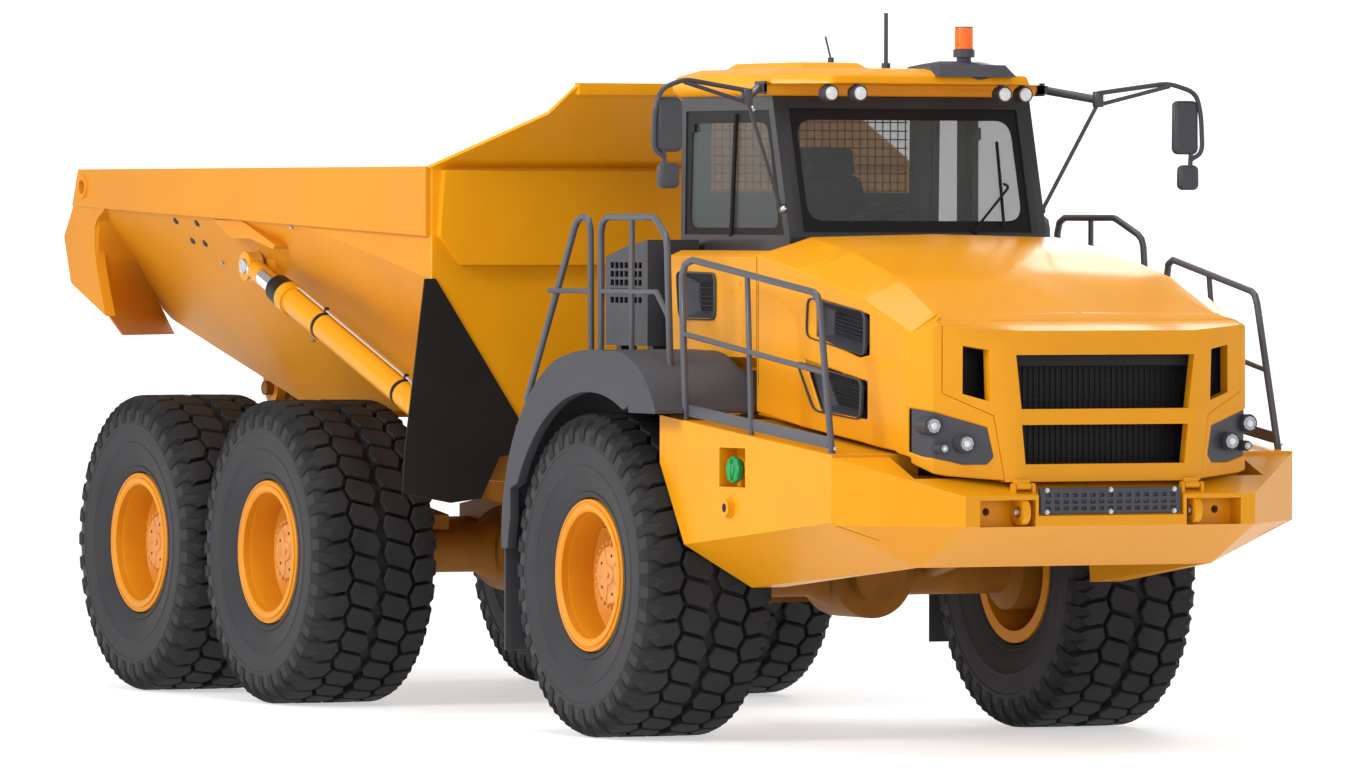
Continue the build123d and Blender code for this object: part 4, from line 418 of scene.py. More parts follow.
def add_bolt(form, place, way, radius, height, slot=0, to=at):
    """Hexagon head on a washer, standing out along a direction."""
    washer = [(-0.002, radius * 1.3), (height * 0.2, radius * 1.3)]
    head = [(0, radius), (height * 0.7, radius), (height * 0.8, radius * 0.85)]
    lathe(form, washer, place, way, 14, slot, to)
    seat = Vector(place) + Vector(way).normalized() * height * 0.2
    lathe(form, head, seat, way, 6, slot, to)


def add_tube(form, points, radius, sides=10, slot=0, to=at):
    """Bent tube through places, with mitred joints and capped ends."""
    path = [Vector(p) for p in points]
    rings = []
    normal = None
    for index, point in enumerate(path):
        before = (point - path[index - 1]).normalized() if index else None
        after = (path[index + 1] - point).normalized() if index < len(path) - 1 else None
        line = ((before or after) + (after or before)).normalized()
        if normal is None:
            normal = line.orthogonal().normalized()
        normal = (normal - line * normal.dot(line)).normalized()
        other = line.cross(normal)
        ring = []
        for turn in turns(sides):
            ring.append(point + (normal * math.cos(turn) + other * math.sin(turn)) * radius)
        rings.append(ring)
    add_solid(form, rings, slot, to)


def rounded(corners, radius, steps=4, closed=True):
    """Outline or path with each corner swapped for a short bend of places."""
    corners = [Vector(c) for c in corners]
    count = len(corners)
    result = [] if closed else [corners[0]]
    for k in range(count) if closed else range(1, count - 1):
        before, corner, after = corners[k - 1], corners[k], corners[(k + 1) % count]
        back, on = before - corner, after - corner
        start = corner + back.normalized() * min(radius, back.length * 0.45)
        end = corner + on.normalized() * min(radius, on.length * 0.45)
        for step in range(steps + 1):
            t = step / steps
            result.append((1 - t) ** 2 * start + 2 * t * (1 - t) * corner + t * t * end)
    return result if closed else result + [corners[-1]]


def grown(outline, margin):
    """Outline with each corner moved away from the middle by a margin."""
    corners = [Vector(c) for c in outline]
    middle = sum(corners, corners[0] * 0) / len(corners)
    return [c + (c - middle).normalized() * margin for c in corners]


FAR_OUT = 4.0     # rays start this far from the truck's middle


def skin(*names):
    """Ray-cast tree of some nodes' meshes."""
    points, faces = [], []
    for name in names:
        mesh = NODES[name].data
        base = len(points)
        points += [v.co.copy() for v in mesh.vertices]
        faces += [[base + i for i in p.vertices] for p in mesh.polygons]
    return BVHTree.FromPolygons(points, faces)


def meet(tree, start, way):
    """Truck place and normal where a line from a truck place first meets a tree."""
    place, normal, _, _ = tree.ray_cast(at(*start), Vector(way))
    if place is None:
        return None, None
    return Vector((place.x - AXLE_X, place.y, place.z)), normal


def side_plane(tree, outline, side):
    """Plane y = a + bx + cz through a panel's outside, from casts at an outline's corners."""
    rows = []
    for x, z in outline:
        place, _ = meet(tree, (x, side * FAR_OUT, z), (0, -side, 0))
        if place is not None:
            rows.append((1.0, x, z, abs(place.y)))
    products = Matrix([[sum(r[i] * r[j] for r in rows) for j in range(3)] for i in range(3)])
    right = Vector([sum(r[i] * r[3] for r in rows) for i in range(3)])
    return products.inverted() @ right


# ---- tyres ----
WHEELS = [f"{axle}_{side}" for axle in ("front", "middle", "rear") for side in ("left", "right")]
TYRE_R = JOINTS["wheel_front_left_spin"]["pos_m"][2]
TYRE_HALF = (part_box("tyre_front_left")[1].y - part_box("tyre_front_left")[0].y) / 2
CARCASS_STEPS = 96
LUG_PITCHES = 36
LUG_DEPTH = 0.045
LUG_CHAMFER = 0.007
GROOVE = 0.022           # width of the grooves between the columns of blocks
ZIGZAG = 0.030
SKEW = 0.25              # lean of the blocks, as a share of half a block
COLUMN_SPLIT = 0.206     # where the inner column ends, from the centre plane
TREAD_FROM = 0.874       # radius share where the tread's rubber starts
TREAD_SHARP = math.radians(30)
SIDEWALL_PROFILE = [
    # radius as a share of the tyre's, distance from the centre plane as a share of half width
    (0.472, 0.80), (0.480, 0.845), (0.50, 0.880), (0.515, 0.885), (0.52, 0.870), (0.545, 0.895),
    (0.60, 0.940), (0.655, 0.966), (0.662, 0.978), (0.675, 0.980), (0.682, 0.970), (0.73, 0.985),
    (0.785, 0.988), (0.792, 1.0), (0.806, 1.0), (0.813, 0.986), (0.86, 0.975), (0.895, 0.955),
    (0.915, 0.93), (0.932, 0.88), (0.945, 0.80), (0.950, 0.0),
]
CROWN = [
    # distance from the centre plane as a share of half width, radius share
    (0.0, 1.0), (0.80, 0.998), (0.90, 0.980), (0.965, 0.940), (0.992, 0.885),
]


def crown_radius(across):
    """Outer radius of the lugs at a distance from the centre plane."""
    share = min(abs(across) / TYRE_HALF, CROWN[-1][0])
    for (a, ra), (b, rb) in zip(CROWN, CROWN[1:]):
        if share <= b:
            return TYRE_R * (ra + (rb - ra) * (share - a) / (b - a))
    return TYRE_R * CROWN[-1][1]


def on_wheel(angle, across, radius):
    """Place on a wheel centred on the origin with its axle along Y."""
    return Vector((radius * math.sin(angle), across, radius * math.cos(angle)))


def add_lug(form, outline):
    """Tread block from (angle, across) corners, with a chamfered top."""
    middle_angle = sum(a for a, _ in outline) / len(outline)
    middle_across = sum(t for _, t in outline) / len(outline)
    rings = []
    for depth, shrink in ((LUG_DEPTH * 1.3, 1.02), (LUG_CHAMFER, 1.0), (0.0, 0.94)):
        ring = []
        for angle, across in outline:
            a = middle_angle + (angle - middle_angle) * shrink
            t = middle_across + (across - middle_across) * shrink
            ring.append(on_wheel(a, t, crown_radius(t) - depth))
        rings.append(ring)
    add_rings(form, rings, to=here)
    top = [form.verts.new(p) for p in rings[-1]]
    crown = form.verts.new(on_wheel(middle_angle, middle_across, crown_radius(middle_across)))
    for k in range(len(top)):
        form.faces.new((top[k], top[(k + 1) % len(top)], crown))


def add_lugs(form):
    """Four columns of interlocking blocks: two inner ones and two that reach the shoulders."""
    pitch = 2 * math.pi / LUG_PITCHES
    half = pitch * 0.5 - GROOVE * 0.5 / TYRE_R
    rim = TYRE_HALF * 0.992
    start = COLUMN_SPLIT + GROOVE
    for k in range(LUG_PITCHES):
        for column in (-1, 1):
            middle = pitch * (k + (0.5 if column > 0 else 0.0))
            lean = column * SKEW * half
            inner = [
                (-half - lean, GROOVE / 2 + ZIGZAG), (-lean, GROOVE / 2),
                (half - lean, GROOVE / 2 + ZIGZAG), (half + lean, COLUMN_SPLIT - ZIGZAG),
                (lean, COLUMN_SPLIT), (-half + lean, COLUMN_SPLIT - ZIGZAG),
            ]
            add_lug(form, [(middle + a, column * t) for a, t in inner])
            middle += pitch / 2
            outer = [
                (-half + lean, start), (lean, start - ZIGZAG), (half + lean, start),
                (half, rim * 0.82), (half * 0.58, rim * 0.92), (half * 0.52, rim),
                (-half * 0.52, rim), (-half * 0.58, rim * 0.92), (-half, rim * 0.82),
            ]
            add_lug(form, [(middle + a, column * t) for a, t in outer])


def tyre_mesh():
    """Carcass of revolution with its tread blocks."""
    form = bmesh.new()
    profile = [(r * TYRE_R, s * TYRE_HALF) for r, s in SIDEWALL_PROFILE]
    full = profile + [(r, -t) for r, t in reversed(profile[:-1])]
    rings = [[on_wheel(angle, t, r) for r, t in full] for angle in turns(CARCASS_STEPS)]
    rows = [[form.verts.new(p) for p in ring] for ring in rings]
    for low, high in zip(rows, rows[1:] + rows[:1]):
        for j, (radius, _) in enumerate(full):
            n = (j + 1) % len(full)
            face = form.faces.new((low[j], low[n], high[n], high[j]))
            face.material_index = 0 if radius > TYRE_R * TREAD_FROM else 1
    add_lugs(form)
    return mesh_from("tyre", form, [RUBBER, SIDEWALL], TREAD_SHARP)


def make_tyres():
    """One tyre mesh on all six wheels, turned round on the right side."""
    mesh = tyre_mesh()
    for name in WHEELS:
        spin = JOINTS[f"wheel_{name}_spin"]
        thing = add_object(f"tread_{name}", mesh)
        flip = math.pi if name.endswith("right") else 0.0
        thing.matrix_world = Matrix.Translation(spin["pos_m"]) @ Matrix.Rotation(flip, 4, "Z")
        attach(thing, f"wheel_{name}")
        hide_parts(f"tyre_{name}")


# ---- rims ----
HOOP_SIDES = 72
HOOPS = [
    # slot, then (along, radius) pairs going once round the section
    (0, [
        (0.300, 0.366), (0.345, 0.362), (0.356, 0.374), (0.358, 0.390),
        (0.354, 0.404), (0.335, 0.408), (0.300, 0.406),
    ]),
    (1, [(0.320, 0.407), (0.336, 0.407), (0.336, 0.419), (0.320, 0.419)]),
    (0, [
        (0.325, 0.418), (0.346, 0.418), (0.352, 0.423),
        (0.352, 0.430), (0.346, 0.435), (0.325, 0.435),
    ]),
]
HUB_CAP = [
    (0.195, 0.168), (0.212, 0.166), (0.218, 0.160), (0.219, 0.060), (0.226, 0.056), (0.227, 0.030),
]
HUB_PLUG = [(0.222, 0.017), (0.236, 0.017)]
WHEEL_NUTS, WHEEL_NUT_R = 20, 0.262
HUB_BOLTS, HUB_BOLT_R = 24, 0.187
CAP_RIBS = 5


def hoop(form, profile, slot, to):
    """Closed ring about the Y axis with a given section."""
    rows = []
    for angle in turns(HOOP_SIDES):
        ring = [on_wheel(angle, along, radius) for along, radius in profile]
        rows.append([form.verts.new(to(*p)) for p in ring])
    for low, high in zip(rows, rows[1:] + rows[:1]):
        for j in range(len(profile)):
            n = (j + 1) % len(profile)
            form.faces.new((low[j], low[n], high[n], high[j])).material_index = slot


def make_rims():
    """Flange and lock rings, wheel nuts, hub bolts, cap and valve, on the outer side."""
    axle = (0, 1, 0)
    for name in WHEELS:
        spin = JOINTS[f"wheel_{name}_spin"]["pos_m"]
        side = 1 if name.endswith("left") else -1

        def to(x, y, z):
            return Vector((spin[0] + x * side, spin[1] + y * side, spin[2] + z))

        form = bmesh.new()
        for slot, profile in HOOPS:
            hoop(form, profile, slot, to)
        for angle in turns(WHEEL_NUTS):
            add_bolt(form, on_wheel(angle, 0.070, WHEEL_NUT_R), axle, 0.015, 0.030, 0, to)
        for angle in turns(HUB_BOLTS):
            add_bolt(form, on_wheel(angle, 0.199, HUB_BOLT_R), axle, 0.010, 0.014, 2, to)
        lathe(form, HUB_CAP, (0, 0, 0), axle, 48, 2, to)
        lathe(form, HUB_PLUG, (0, 0, 0), axle, 6, 2, to)
        for angle in turns(CAP_RIBS, 0.3):
            corners = ((0.062, -0.004), (0.155, -0.004), (0.155, 0.004), (0.062, 0.004))
            rib = [on_wheel(angle + t / r, 0, r) for r, t in corners]
            add_solid(form, [[(x, y, z) for x, _, z in rib] for y in (0.216, 0.2225)], 2, to)
            dimple = on_wheel(angle + 0.6, 0, 0.115)
            lathe(form, [(0.2190, 0.009), (0.2205, 0.009)], dimple, axle, 12, 1, to)
        valve = [on_wheel(0.6, y, r) for y, r in ((0.09, 0.335), (0.13, 0.325), (0.17, 0.327))]
        add_tube(form, valve, 0.006, 8, 3, to)
        new_piece(f"wheel_parts_{name}", form, [RIM, BLACK, HUB, STEEL], f"wheel_{name}")


# ---- vents, grille and lamps ----
VENTS = [
    # name, CAD body, node behind the bezel, (x, z) corners
    ("upper", "bonnet", "bonnet", [(1.575, 2.513), (2.185, 2.439), (2.186, 2.205), (1.562, 2.302)]),
    ("lower", "bonnet", "bonnet", [(1.448, 2.156), (2.158, 2.061), (2.145, 1.852), (1.649, 1.895)]),
    (
        "body", "front_body", "body_sides",
        [(-0.045, 2.648), (0.42, 2.640), (0.42, 2.390), (-0.010, 2.390)],
    ),
]
VENT_SLATS = 6
SLAT_DEPTHS = (0.073, 0.060)     # lower and upper edge, in from the panel
SIDE_SLOT = [(-0.02, 2.11), (0.72, 2.11), (0.73, 1.94), (0.10, 1.93)]


def make_vents():
    """Moulded vent bezels with sloped recess walls and a slatted dark back."""
    for label, body, node, corners in VENTS:
        tree = skin(node)
        for side, side_name in SIDES:
            if node == "body_sides" and side > 0:
                continue  # the door is there
            plane = side_plane(tree, grown(corners, 0.05), side)
            middle = sum((Vector(c) for c in corners), Vector((0, 0))) / 4
            span = corners[1][0] - corners[0][0]
            back = middle + Vector((span * 0.06, -0.01))
            outer = rounded(grown(corners, 0.022), 0.060)
            mouth = rounded(grown(corners, 0.004), 0.045)
            back_line = rounded([back + (Vector(c) - middle) * 0.62 for c in corners], 0.025)

            def ring(line, depth):
                result = []
                for x, z in line:
                    y = plane[0] + plane[1] * x + plane[2] * z
                    result.append((x, side * (y - depth), z))
                return result

            form = bmesh.new()
            rings = [
                ring(outer, 0.004), ring(outer, -0.010), ring(mouth, -0.014),
                ring(mouth, 0.004), ring(back_line, 0.075),
            ]
            add_rings(form, rings, [0, 0, 0, 0, 1, 2], (False, True))
            ends = [back + (Vector(c) - middle) * 0.60 for c in corners]
            for k in range(1, VENT_SLATS):
                start = ends[0].lerp(ends[3], k / VENT_SLATS)
                end = ends[1].lerp(ends[2], k / VENT_SLATS)
                slat = ring([(p.x, p.y - 0.004) for p in (start, end)], SLAT_DEPTHS[0])
                slat += ring([(p.x, p.y + 0.006) for p in (end, start)], SLAT_DEPTHS[1])
                add_solid(form, [[(x, y, z - 0.002) for x, y, z in slat], slat], 1)
            new_piece(f"vent_{label}_{side_name}", form, [FENDER, DARK, BLACK], body)
    form = bmesh.new()
    for side, _ in SIDES:
        add_solid(form, [[(x, side * y, z) for x, z in SIDE_SLOT] for y in (0.975, 0.985)])
    new_piece("side_slot_backs", form, BLACK)


def make_grille():
    """Dark screen of fine bars behind the front openings, dark backs at its sides, and a dark strip
    at the top that is painted shadow under the bonnet's edge.
    """
    form = bmesh.new()
    add_box(form, (2.760, -0.66, 1.60), (2.766, 0.66, 2.30))
    for side in (-1, 1):
        for low, high in ((1.95, 2.27), (1.60, 1.90)):
            add_box(form, (2.70, side * 0.94, low), (2.705, side * 0.66, high))
    for k in range(33):
        y = -0.56 + 0.035 * k
        add_box(form, (2.766, y - 0.003, 1.60), (2.776, y + 0.003, 2.26), 1)
    for k in range(18):
        z = 1.615 + 0.035 * k
        add_box(form, (2.766, -0.58, z - 0.003), (2.774, 0.58, z + 0.003), 1)
    # dark strip across the top of the opening: painted shadow under the bonnet's edge
    add_box(form, (2.84, -0.575, 2.150), (2.86, 0.575, 2.235), 1)
    new_piece("grille_screen", form, [BLACK, SCREEN], "bonnet")


HEADLAMPS = [
    # x, y and z of the face the insert stands on, radius
    (2.800, 0.995, 1.824, 0.047), (2.885, 0.834, 1.727, 0.047), (2.850, 0.955, 1.700, 0.025),
]
ROOF_LAMPS = [(0.873, 0.625, 3.668), (0.920, 0.465, 3.668)]


def make_lamps():
    """Headlamp and roof lamp inserts: rim, faceted reflector, domed lens."""
    ahead = (1, 0, 0)
    form = bmesh.new()
    for x, y, z, r in HEADLAMPS:
        rim = [(0, r), (0.012, r), (0.016, r * 0.94), (0.008, r * 0.86)]
        bowl = [(0.006, r * 0.90), (0.013, r * 0.84), (0.014, r * 0.40)]
        lens = [(0.010, r * 0.46), (0.017, r * 0.40), (0.020, r * 0.24), (0.021, r * 0.05)]
        for side in (-1, 1):
            place = (x, side * y, z)
            lathe(form, rim, place, ahead, 28, 0)
            lathe(form, bowl, place, ahead, 16, 1, lobes=(8, 0.03))
            lathe(form, lens, place, ahead, 24, 2)
    new_piece("headlamp_lenses", form, [DARK, SILVER, LENS], "bonnet")
    form = bmesh.new()
    rim = [(-0.004, 0.046), (0.006, 0.046), (0.008, 0.041), (0.003, 0.039)]
    lens = [(0.001, 0.040), (0.009, 0.036), (0.013, 0.022), (0.014, 0.004)]
    for x, y, z in ROOF_LAMPS:
        for side in (-1, 1):
            lathe(form, rim, (x, side * y, z), ahead, 28, 0)
            lathe(form, lens, (x, side * y, z), ahead, 28, 2)
    new_piece("roof_lamp_lenses", form, [DARK, SILVER, LENS])


# ---- bumper and side boxes ----
DASH = [(-0.017, -0.005), (0.017, -0.005), (0.014, 0.005), (-0.014, 0.005)]
CAP_COVER = [(0, 0.058), (0.012, 0.060), (0.018, 0.072), (0.046, 0.074), (0.054, 0.066)]
CAP_PLACE = (1.450, -1.494, 1.558)


def make_bumper():
    """Step plate's dashes and bolts, tow pins, bores, filler cap and side box bolts."""
    form = bmesh.new()
    for side in (-1, 1):
        out = (0, side, 0)
        tow_pin = [(-0.055, 0.022), (0.030, 0.022), (0.034, 0.018)]
        lathe(form, tow_pin, (2.975, side * 0.555, 1.352), out, 20, 2)
        lathe(form, [(0, 0.012), (0.004, 0.012)], (2.899, side * 0.720, 1.352), (1, 0, 0), 20, 1)
        lathe(form, [(0, 0.030), (0.003, 0.030)], (1.430, side * 1.5785, 1.346), out, 28, 1)
    for y in (-0.40, 0.0, 0.40):
        for z in (1.350, 1.470):
            add_bolt(form, (3.012, y, z), (1, 0, 0), 0.011, 0.014, 2)
    for row in range(3):
        for k in range(15):
            y = -0.40 + 0.055 * k + (0.0275 if row == 1 else 0.0)
            z = 1.385 + 0.026 * row
            add_solid(form, [[(x, y + dy, z + dz) for dy, dz in DASH] for x in (2.994, 3.002)])
    new_piece("step_fittings", form, [RAIL, BLACK, STEEL])
    form = bmesh.new()
    lathe(form, CAP_COVER, CAP_PLACE, (0, -1, 0), 64, 0, lobes=(8, 0.035))
    lathe(form, [(0.050, 0.040), (0.062, 0.036), (0.064, 0.010)], CAP_PLACE, (0, -1, 0), 32)
    add_box(form, (1.440, -1.560, 1.500), (1.460, -1.545, 1.616))
    new_piece("filler_cap", form, GREEN)
    form = bmesh.new()
    for side in (-1, 1):
        for x in (2.372, 2.442):
            add_bolt(form, (x, side * 1.413, 1.690), (0, 0, 1), 0.009, 0.012)
        for x in (1.22, 1.95, 2.33):
            add_bolt(form, (x, side * 1.46, 1.40), (0, side, 0), 0.010, 0.008)
    new_piece("box_bolts", form, STEEL)


# ---- bin and hoist ----
BIN_HOLES = [(-6.101, 2.936), (-5.778, 2.922), (-6.020, 2.813), (-5.835, 2.797)]
BIN_BOLTS = [(-4.313, 2.904), (-4.959, 2.212), (-5.717, 2.682)]


def make_bin_parts():
    """Dark plugs and bolt heads on both of the bin's sides, at (x, z) places."""
    tree = skin("bin_tub")
    form = bmesh.new()
    for side, _ in SIDES:
        for x, z in BIN_HOLES:
            place, normal = meet(tree, (x, side * FAR_OUT, z), (0, -side, 0))
            lathe(form, [(-0.002, 0.026), (0.002, 0.026)], place, normal, 20, 1)
            lathe(form, [(0.001, 0.018), (0.010, 0.018), (0.012, 0.014)], place, normal, 6, 1)
        for x, z in BIN_BOLTS:
            place, normal = meet(tree, (x, side * FAR_OUT, z), (0, -side, 0))
            add_bolt(form, place, normal, 0.014, 0.014)
    new_piece("bin_bolts", form, [STEEL, DARK], "bin")


HOIST_BASE, HOIST_EYE = (-2.455, 1.78), (-5.05, 2.66)     # x and z of the lower and upper pin
HOIST_Y = 1.55
GLAND = [
    (2.160, 0.084), (2.168, 0.091), (2.230, 0.091), (2.238, 0.086), (2.322, 0.086), (2.330, 0.078),
]
CLAMPS = (0.40, 1.60)      # where the hard line's clamps start on the barrel
PIPE_LINE = [(0.28, 0.070), (0.32, 0.105), (2.04, 0.105), (2.10, 0.070)]     # along, out


def make_hoists():
    """Gland, clamps and hard line on each barrel; painted neck, eye and pin on each rod."""
    reach = Vector((HOIST_EYE[0] - HOIST_BASE[0], 0, HOIST_EYE[1] - HOIST_BASE[1]))
    way = reach.normalized()
    over = Vector((way.z, 0, -way.x))
    for side, name in SIDES:
        base = Vector((HOIST_BASE[0], side * HOIST_Y, HOIST_BASE[1]))
        eye = Vector((HOIST_EYE[0], side * HOIST_Y, HOIST_EYE[1]))
        form = bmesh.new()
        lathe(form, GLAND, base, way, 40, 1)
        for low in CLAMPS:
            band = [(low, 0.083), (low + 0.002, 0.0865), (low + 0.03, 0.0865), (low + 0.032, 0.083)]
            lathe(form, band, base, way, 40, 1)
        pipe = [base + way * along + over * out for along, out in PIPE_LINE]
        add_tube(form, rounded(pipe, 0.06, closed=False), 0.011, 12, 2)
        for low in CLAMPS:
            place = base + way * (low + 0.015) + over * 0.080
            lathe(form, [(0, 0.016), (0.038, 0.016), (0.042, 0.012)], place, over, 12, 1)
        new_piece(f"hoist_line_{name}", form, [YELLOW, BLACK, CHROME], f"hoist_barrel_{name}")
        form = bmesh.new()
        outer = Vector((0, side, 0))
        lathe(form, [(-0.205, 0.0615), (-0.080, 0.0615)], eye, way, 36, 0)
        lathe(form, [(0.030, 0.0890), (0.0490, 0.0895), (0.0515, 0.085)], eye, outer, 44, 0)
        lathe(form, [(0.050, 0.046), (0.064, 0.046), (0.067, 0.042)], eye, outer, 36, 1)
        for angle in turns(3):
            spot = eye + Vector((math.cos(angle + 0.5), 0, math.sin(angle + 0.5))) * 0.028
            add_bolt(form, spot + outer * 0.066, outer, 0.006, 0.006, 2)
        new_piece(f"hoist_eye_{name}", form, [YELLOW, STEEL, CHROME], f"hoist_rod_{name}")


# ---- cab ----
SCREEN_BORDER = [(0.742, 2.872), (-0.742, 2.872), (-0.742, 3.592), (0.742, 3.592)]
SCREEN_CLEAR = [(0.690, 2.945), (-0.690, 2.945), (-0.690, 3.520), (0.690, 3.520)]
SIDE_BORDER = [(-0.565, 2.835), (0.700, 2.835), (0.520, 3.575), (-0.530, 3.575)]
SIDE_CLEAR = [(-0.505, 2.905), (0.615, 2.905), (0.465, 3.505), (-0.475, 3.505)]


def screen_x(z, out=0.0):
    """Outer face of the windscreen glass at a height."""
    return 0.647 - 0.277 * (z - 3.2) + out


def make_frits():
    """Black printed borders on the windscreen and the right side pane."""
    form = bmesh.new()
    wide, clear = rounded(SCREEN_BORDER, 0.03, 6), rounded(SCREEN_CLEAR, 0.10, 6)
    lines = []
    for line, out in ((wide, 0.001), (wide, 0.006), (clear, 0.006), (clear, 0.001)):
        lines.append([(screen_x(z, out), y, z) for y, z in line])
    add_rings(form, lines + lines[:1])
    wide, clear = rounded(SIDE_BORDER, 0.02, 5), rounded(SIDE_CLEAR, 0.08, 5)
    lines = []
    for line, y in ((wide, 0.8185), (wide, 0.823), (clear, 0.823), (clear, 0.8185)):
        lines.append([(x, -y, z) for x, z in line])
    add_rings(form, lines + lines[:1])
    add_tube(form, [(0.086, -0.828, 3.556), (0.026, -0.828, 2.856)], 0.014)
    add_box(form, (-0.490, -0.836, 3.455), (-0.430, -0.821, 3.500))
    new_piece("pane_borders", form, BLACK)


def make_wipers():
    """Windscreen wiper: pivot, bent arm, carrier and blade."""
    form = bmesh.new()
    lathe(form, [(-0.02, 0.020), (0.035, 0.018)], (0.735, 0.361, 2.880), (1, 0, 0.28), 20)
    arm = [
        (0.765, 0.361, 2.885), (0.745, 0.400, 2.930), (0.692, 0.620, 3.143), (0.684, 0.585, 3.160),
    ]
    add_tube(form, rounded(arm, 0.03, closed=False), 0.008, 8)
    carrier = ((0.580, 3.400), (0.570, 3.160), (0.556, 2.914))
    add_tube(form, [(screen_x(z, 0.026), y, z) for y, z in carrier], 0.007, 8)
    edge = [(screen_x(z, 0.008), y, z) for y, z in (carrier[0], carrier[2])]
    low = [(x, y - 0.003, z) for x, y, z in edge]
    low += [(x, y + 0.003, z) for x, y, z in reversed(edge)]
    add_solid(form, [low, [(x + 0.016, y, z) for x, y, z in low]])
    new_piece("wiper", form, BLACK)


def make_meshes():
    """Wire mesh behind the cab's rear window."""
    form = bmesh.new()
    for k in range(27):
        y = -0.65 + 0.05 * k
        add_rod(form, (-0.636, y, 3.105), (-0.636, y, 3.585), 0.004, 6)
    for k in range(10):
        z = 3.12 + 0.05 * k
        add_rod(form, (-0.640, -0.665, z), (-0.640, 0.665, z), 0.004, 6)
    new_piece("window_mesh", form, BLACK)


STEERING_PLACE, STEERING_TILT = (0.330, -0.040, 2.905), (-0.50, 0, 0.87)
STEERING_R = 0.205
DISPLAY = [(0.47, 2.900), (0.53, 2.900), (0.50, 3.010), (0.478, 3.010)]
BALL = [(-0.020, 0.004), (-0.014, 0.014), (0, 0.020), (0.014, 0.014), (0.020, 0.004)]


def make_cab_parts():
    """Steering wheel with the display behind it, ball joints, and the beacon's ribbed lens."""
    form = bmesh.new()
    centre, tilt = Vector(STEERING_PLACE), Vector(STEERING_TILT).normalized()
    across = Vector((0, 1, 0))
    first = tilt.cross(across).normalized()
    rows = []
    for angle in turns(36):
        point = centre + (first * math.cos(angle) + across * math.sin(angle)) * STEERING_R
        outward = (point - centre).normalized()
        ring = [point + (outward * math.cos(t) + tilt * math.sin(t)) * 0.016 for t in turns(10)]
        rows.append(ring)
    add_rings(form, rows + rows[:1])
    for angle in turns(3):
        tip = centre + (first * math.cos(angle) + across * math.sin(angle)) * 0.195
        add_rod(form, centre - tilt * 0.02, tip, 0.012, 10)
    lathe(form, [(-0.05, 0.045), (0.0, 0.050), (0.012, 0.040)], centre, tilt, 24)
    add_solid(form, [[(x, y, z) for x, z in DISPLAY] for y in (-0.02, 0.24)])
    new_piece("controls", form, TRIM)
    form = bmesh.new()
    for place in ((0.740, -0.860, 3.012), (0.576, -0.975, 3.576)):
        lathe(form, BALL, place, (0, 1, 0))
    new_piece("ball_joints", form, STEEL)
    form = bmesh.new()
    profile = [(3.925, 0.050), (3.930, 0.0545)]
    for k in range(10):
        z = 3.934 + 0.011 * k
        profile += [(z, 0.0545), (z + 0.004, 0.0520), (z + 0.008, 0.0545)]
    profile += [(4.048, 0.052), (4.0545, 0.044), (4.0550, 0.020)]
    lathe(form, profile, (0.735, 0.300, 0.0), (0, 0, 1), 40)
    new_piece("beacon_lens", form, AMBER)


def padded_block(name, rings):
    """Stuffed cushion: coarse outline rings rounded by subdivision."""
    form = bmesh.new()
    add_solid(form, rings)
    thing = new_piece(name, form, CLOTH, limit=math.pi)
    rounder = thing.modifiers.new("round", "SUBSURF")
    rounder.levels = 3
    rounder.render_levels = 3


SEAT_BACK = [
    # z, front x, rear x, right y, left y
    (2.730, -0.125, -0.355, -0.300, 0.220), (2.760, -0.125, -0.360, -0.305, 0.225),
    (3.000, -0.185, -0.420, -0.285, 0.200), (3.180, -0.235, -0.450, -0.250, 0.165),
    (3.215, -0.240, -0.455, -0.240, 0.155),
]
SEAT_REST = [
    # z, front x, rear x
    (3.205, -0.225, -0.470), (3.225, -0.225, -0.475), (3.345, -0.270, -0.475),
    (3.375, -0.280, -0.470),
]


def make_seat():
    """Cushion, back and headrest over the seat's frame."""
    def slab(z, x0, x1, y0, y1, inset):
        """Ring of eight places round a flat section."""
        near, far = x0 * 0.98 + x1 * 0.02, x1 * 0.98 + x0 * 0.02
        line = [
            (x0, y0 + inset), (x0, y1 - inset), (near, y1), (far, y1),
            (x1, y1 - inset), (x1, y0 + inset), (far, y0), (near, y0),
        ]
        return [(x, y, z) for x, y in line]

    heights = (2.555, 2.580, 2.720, 2.745)
    padded_block("seat_cushion", [slab(z, -0.355, 0.195, -0.310, 0.230, 0.05) for z in heights])
    back = [slab(z, rear, front, right, left, 0.04) for z, front, rear, right, left in SEAT_BACK]
    padded_block("seat_back", back)
    rest = [slab(z, rear, front, -0.215, 0.125, 0.03) for z, front, rear in SEAT_REST]
    padded_block("seat_headrest", rest)


# ---- mirrors and roof cover ----
ROOF_HALF = 0.890
MIRROR_Z = 3.700
MIRROR_GLASS = [
    # x, then the lower and the upper (y, height over the bracket) corner
    (0.8612, (1.598, -0.350), (1.727, -0.080)), (0.8792, (1.625, -0.555), (1.720, -0.450)),
]


def soft_block(form, low, high, radius, to):
    """Box with every edge rounded, as stacked rounded outlines."""
    (x0, y0, z0), (x1, y1, z1) = low, high
    rings = []
    for k in range(11):
        turn = math.pi * k / 10
        inset = radius * (1 - math.sin(turn))
        rise = radius * (1 - abs(math.cos(turn)))
        z = z0 + rise if k <= 5 else z1 - rise
        left, right = x0 + inset * 0.4, x1 - inset * 0.4
        near, far = y0 + inset, y1 - inset
        line = rounded([(left, near), (right, near), (right, far), (left, far)], radius)
        rings.append([(x, y, z) for x, y in line])
    add_solid(form, rings, 0, to)


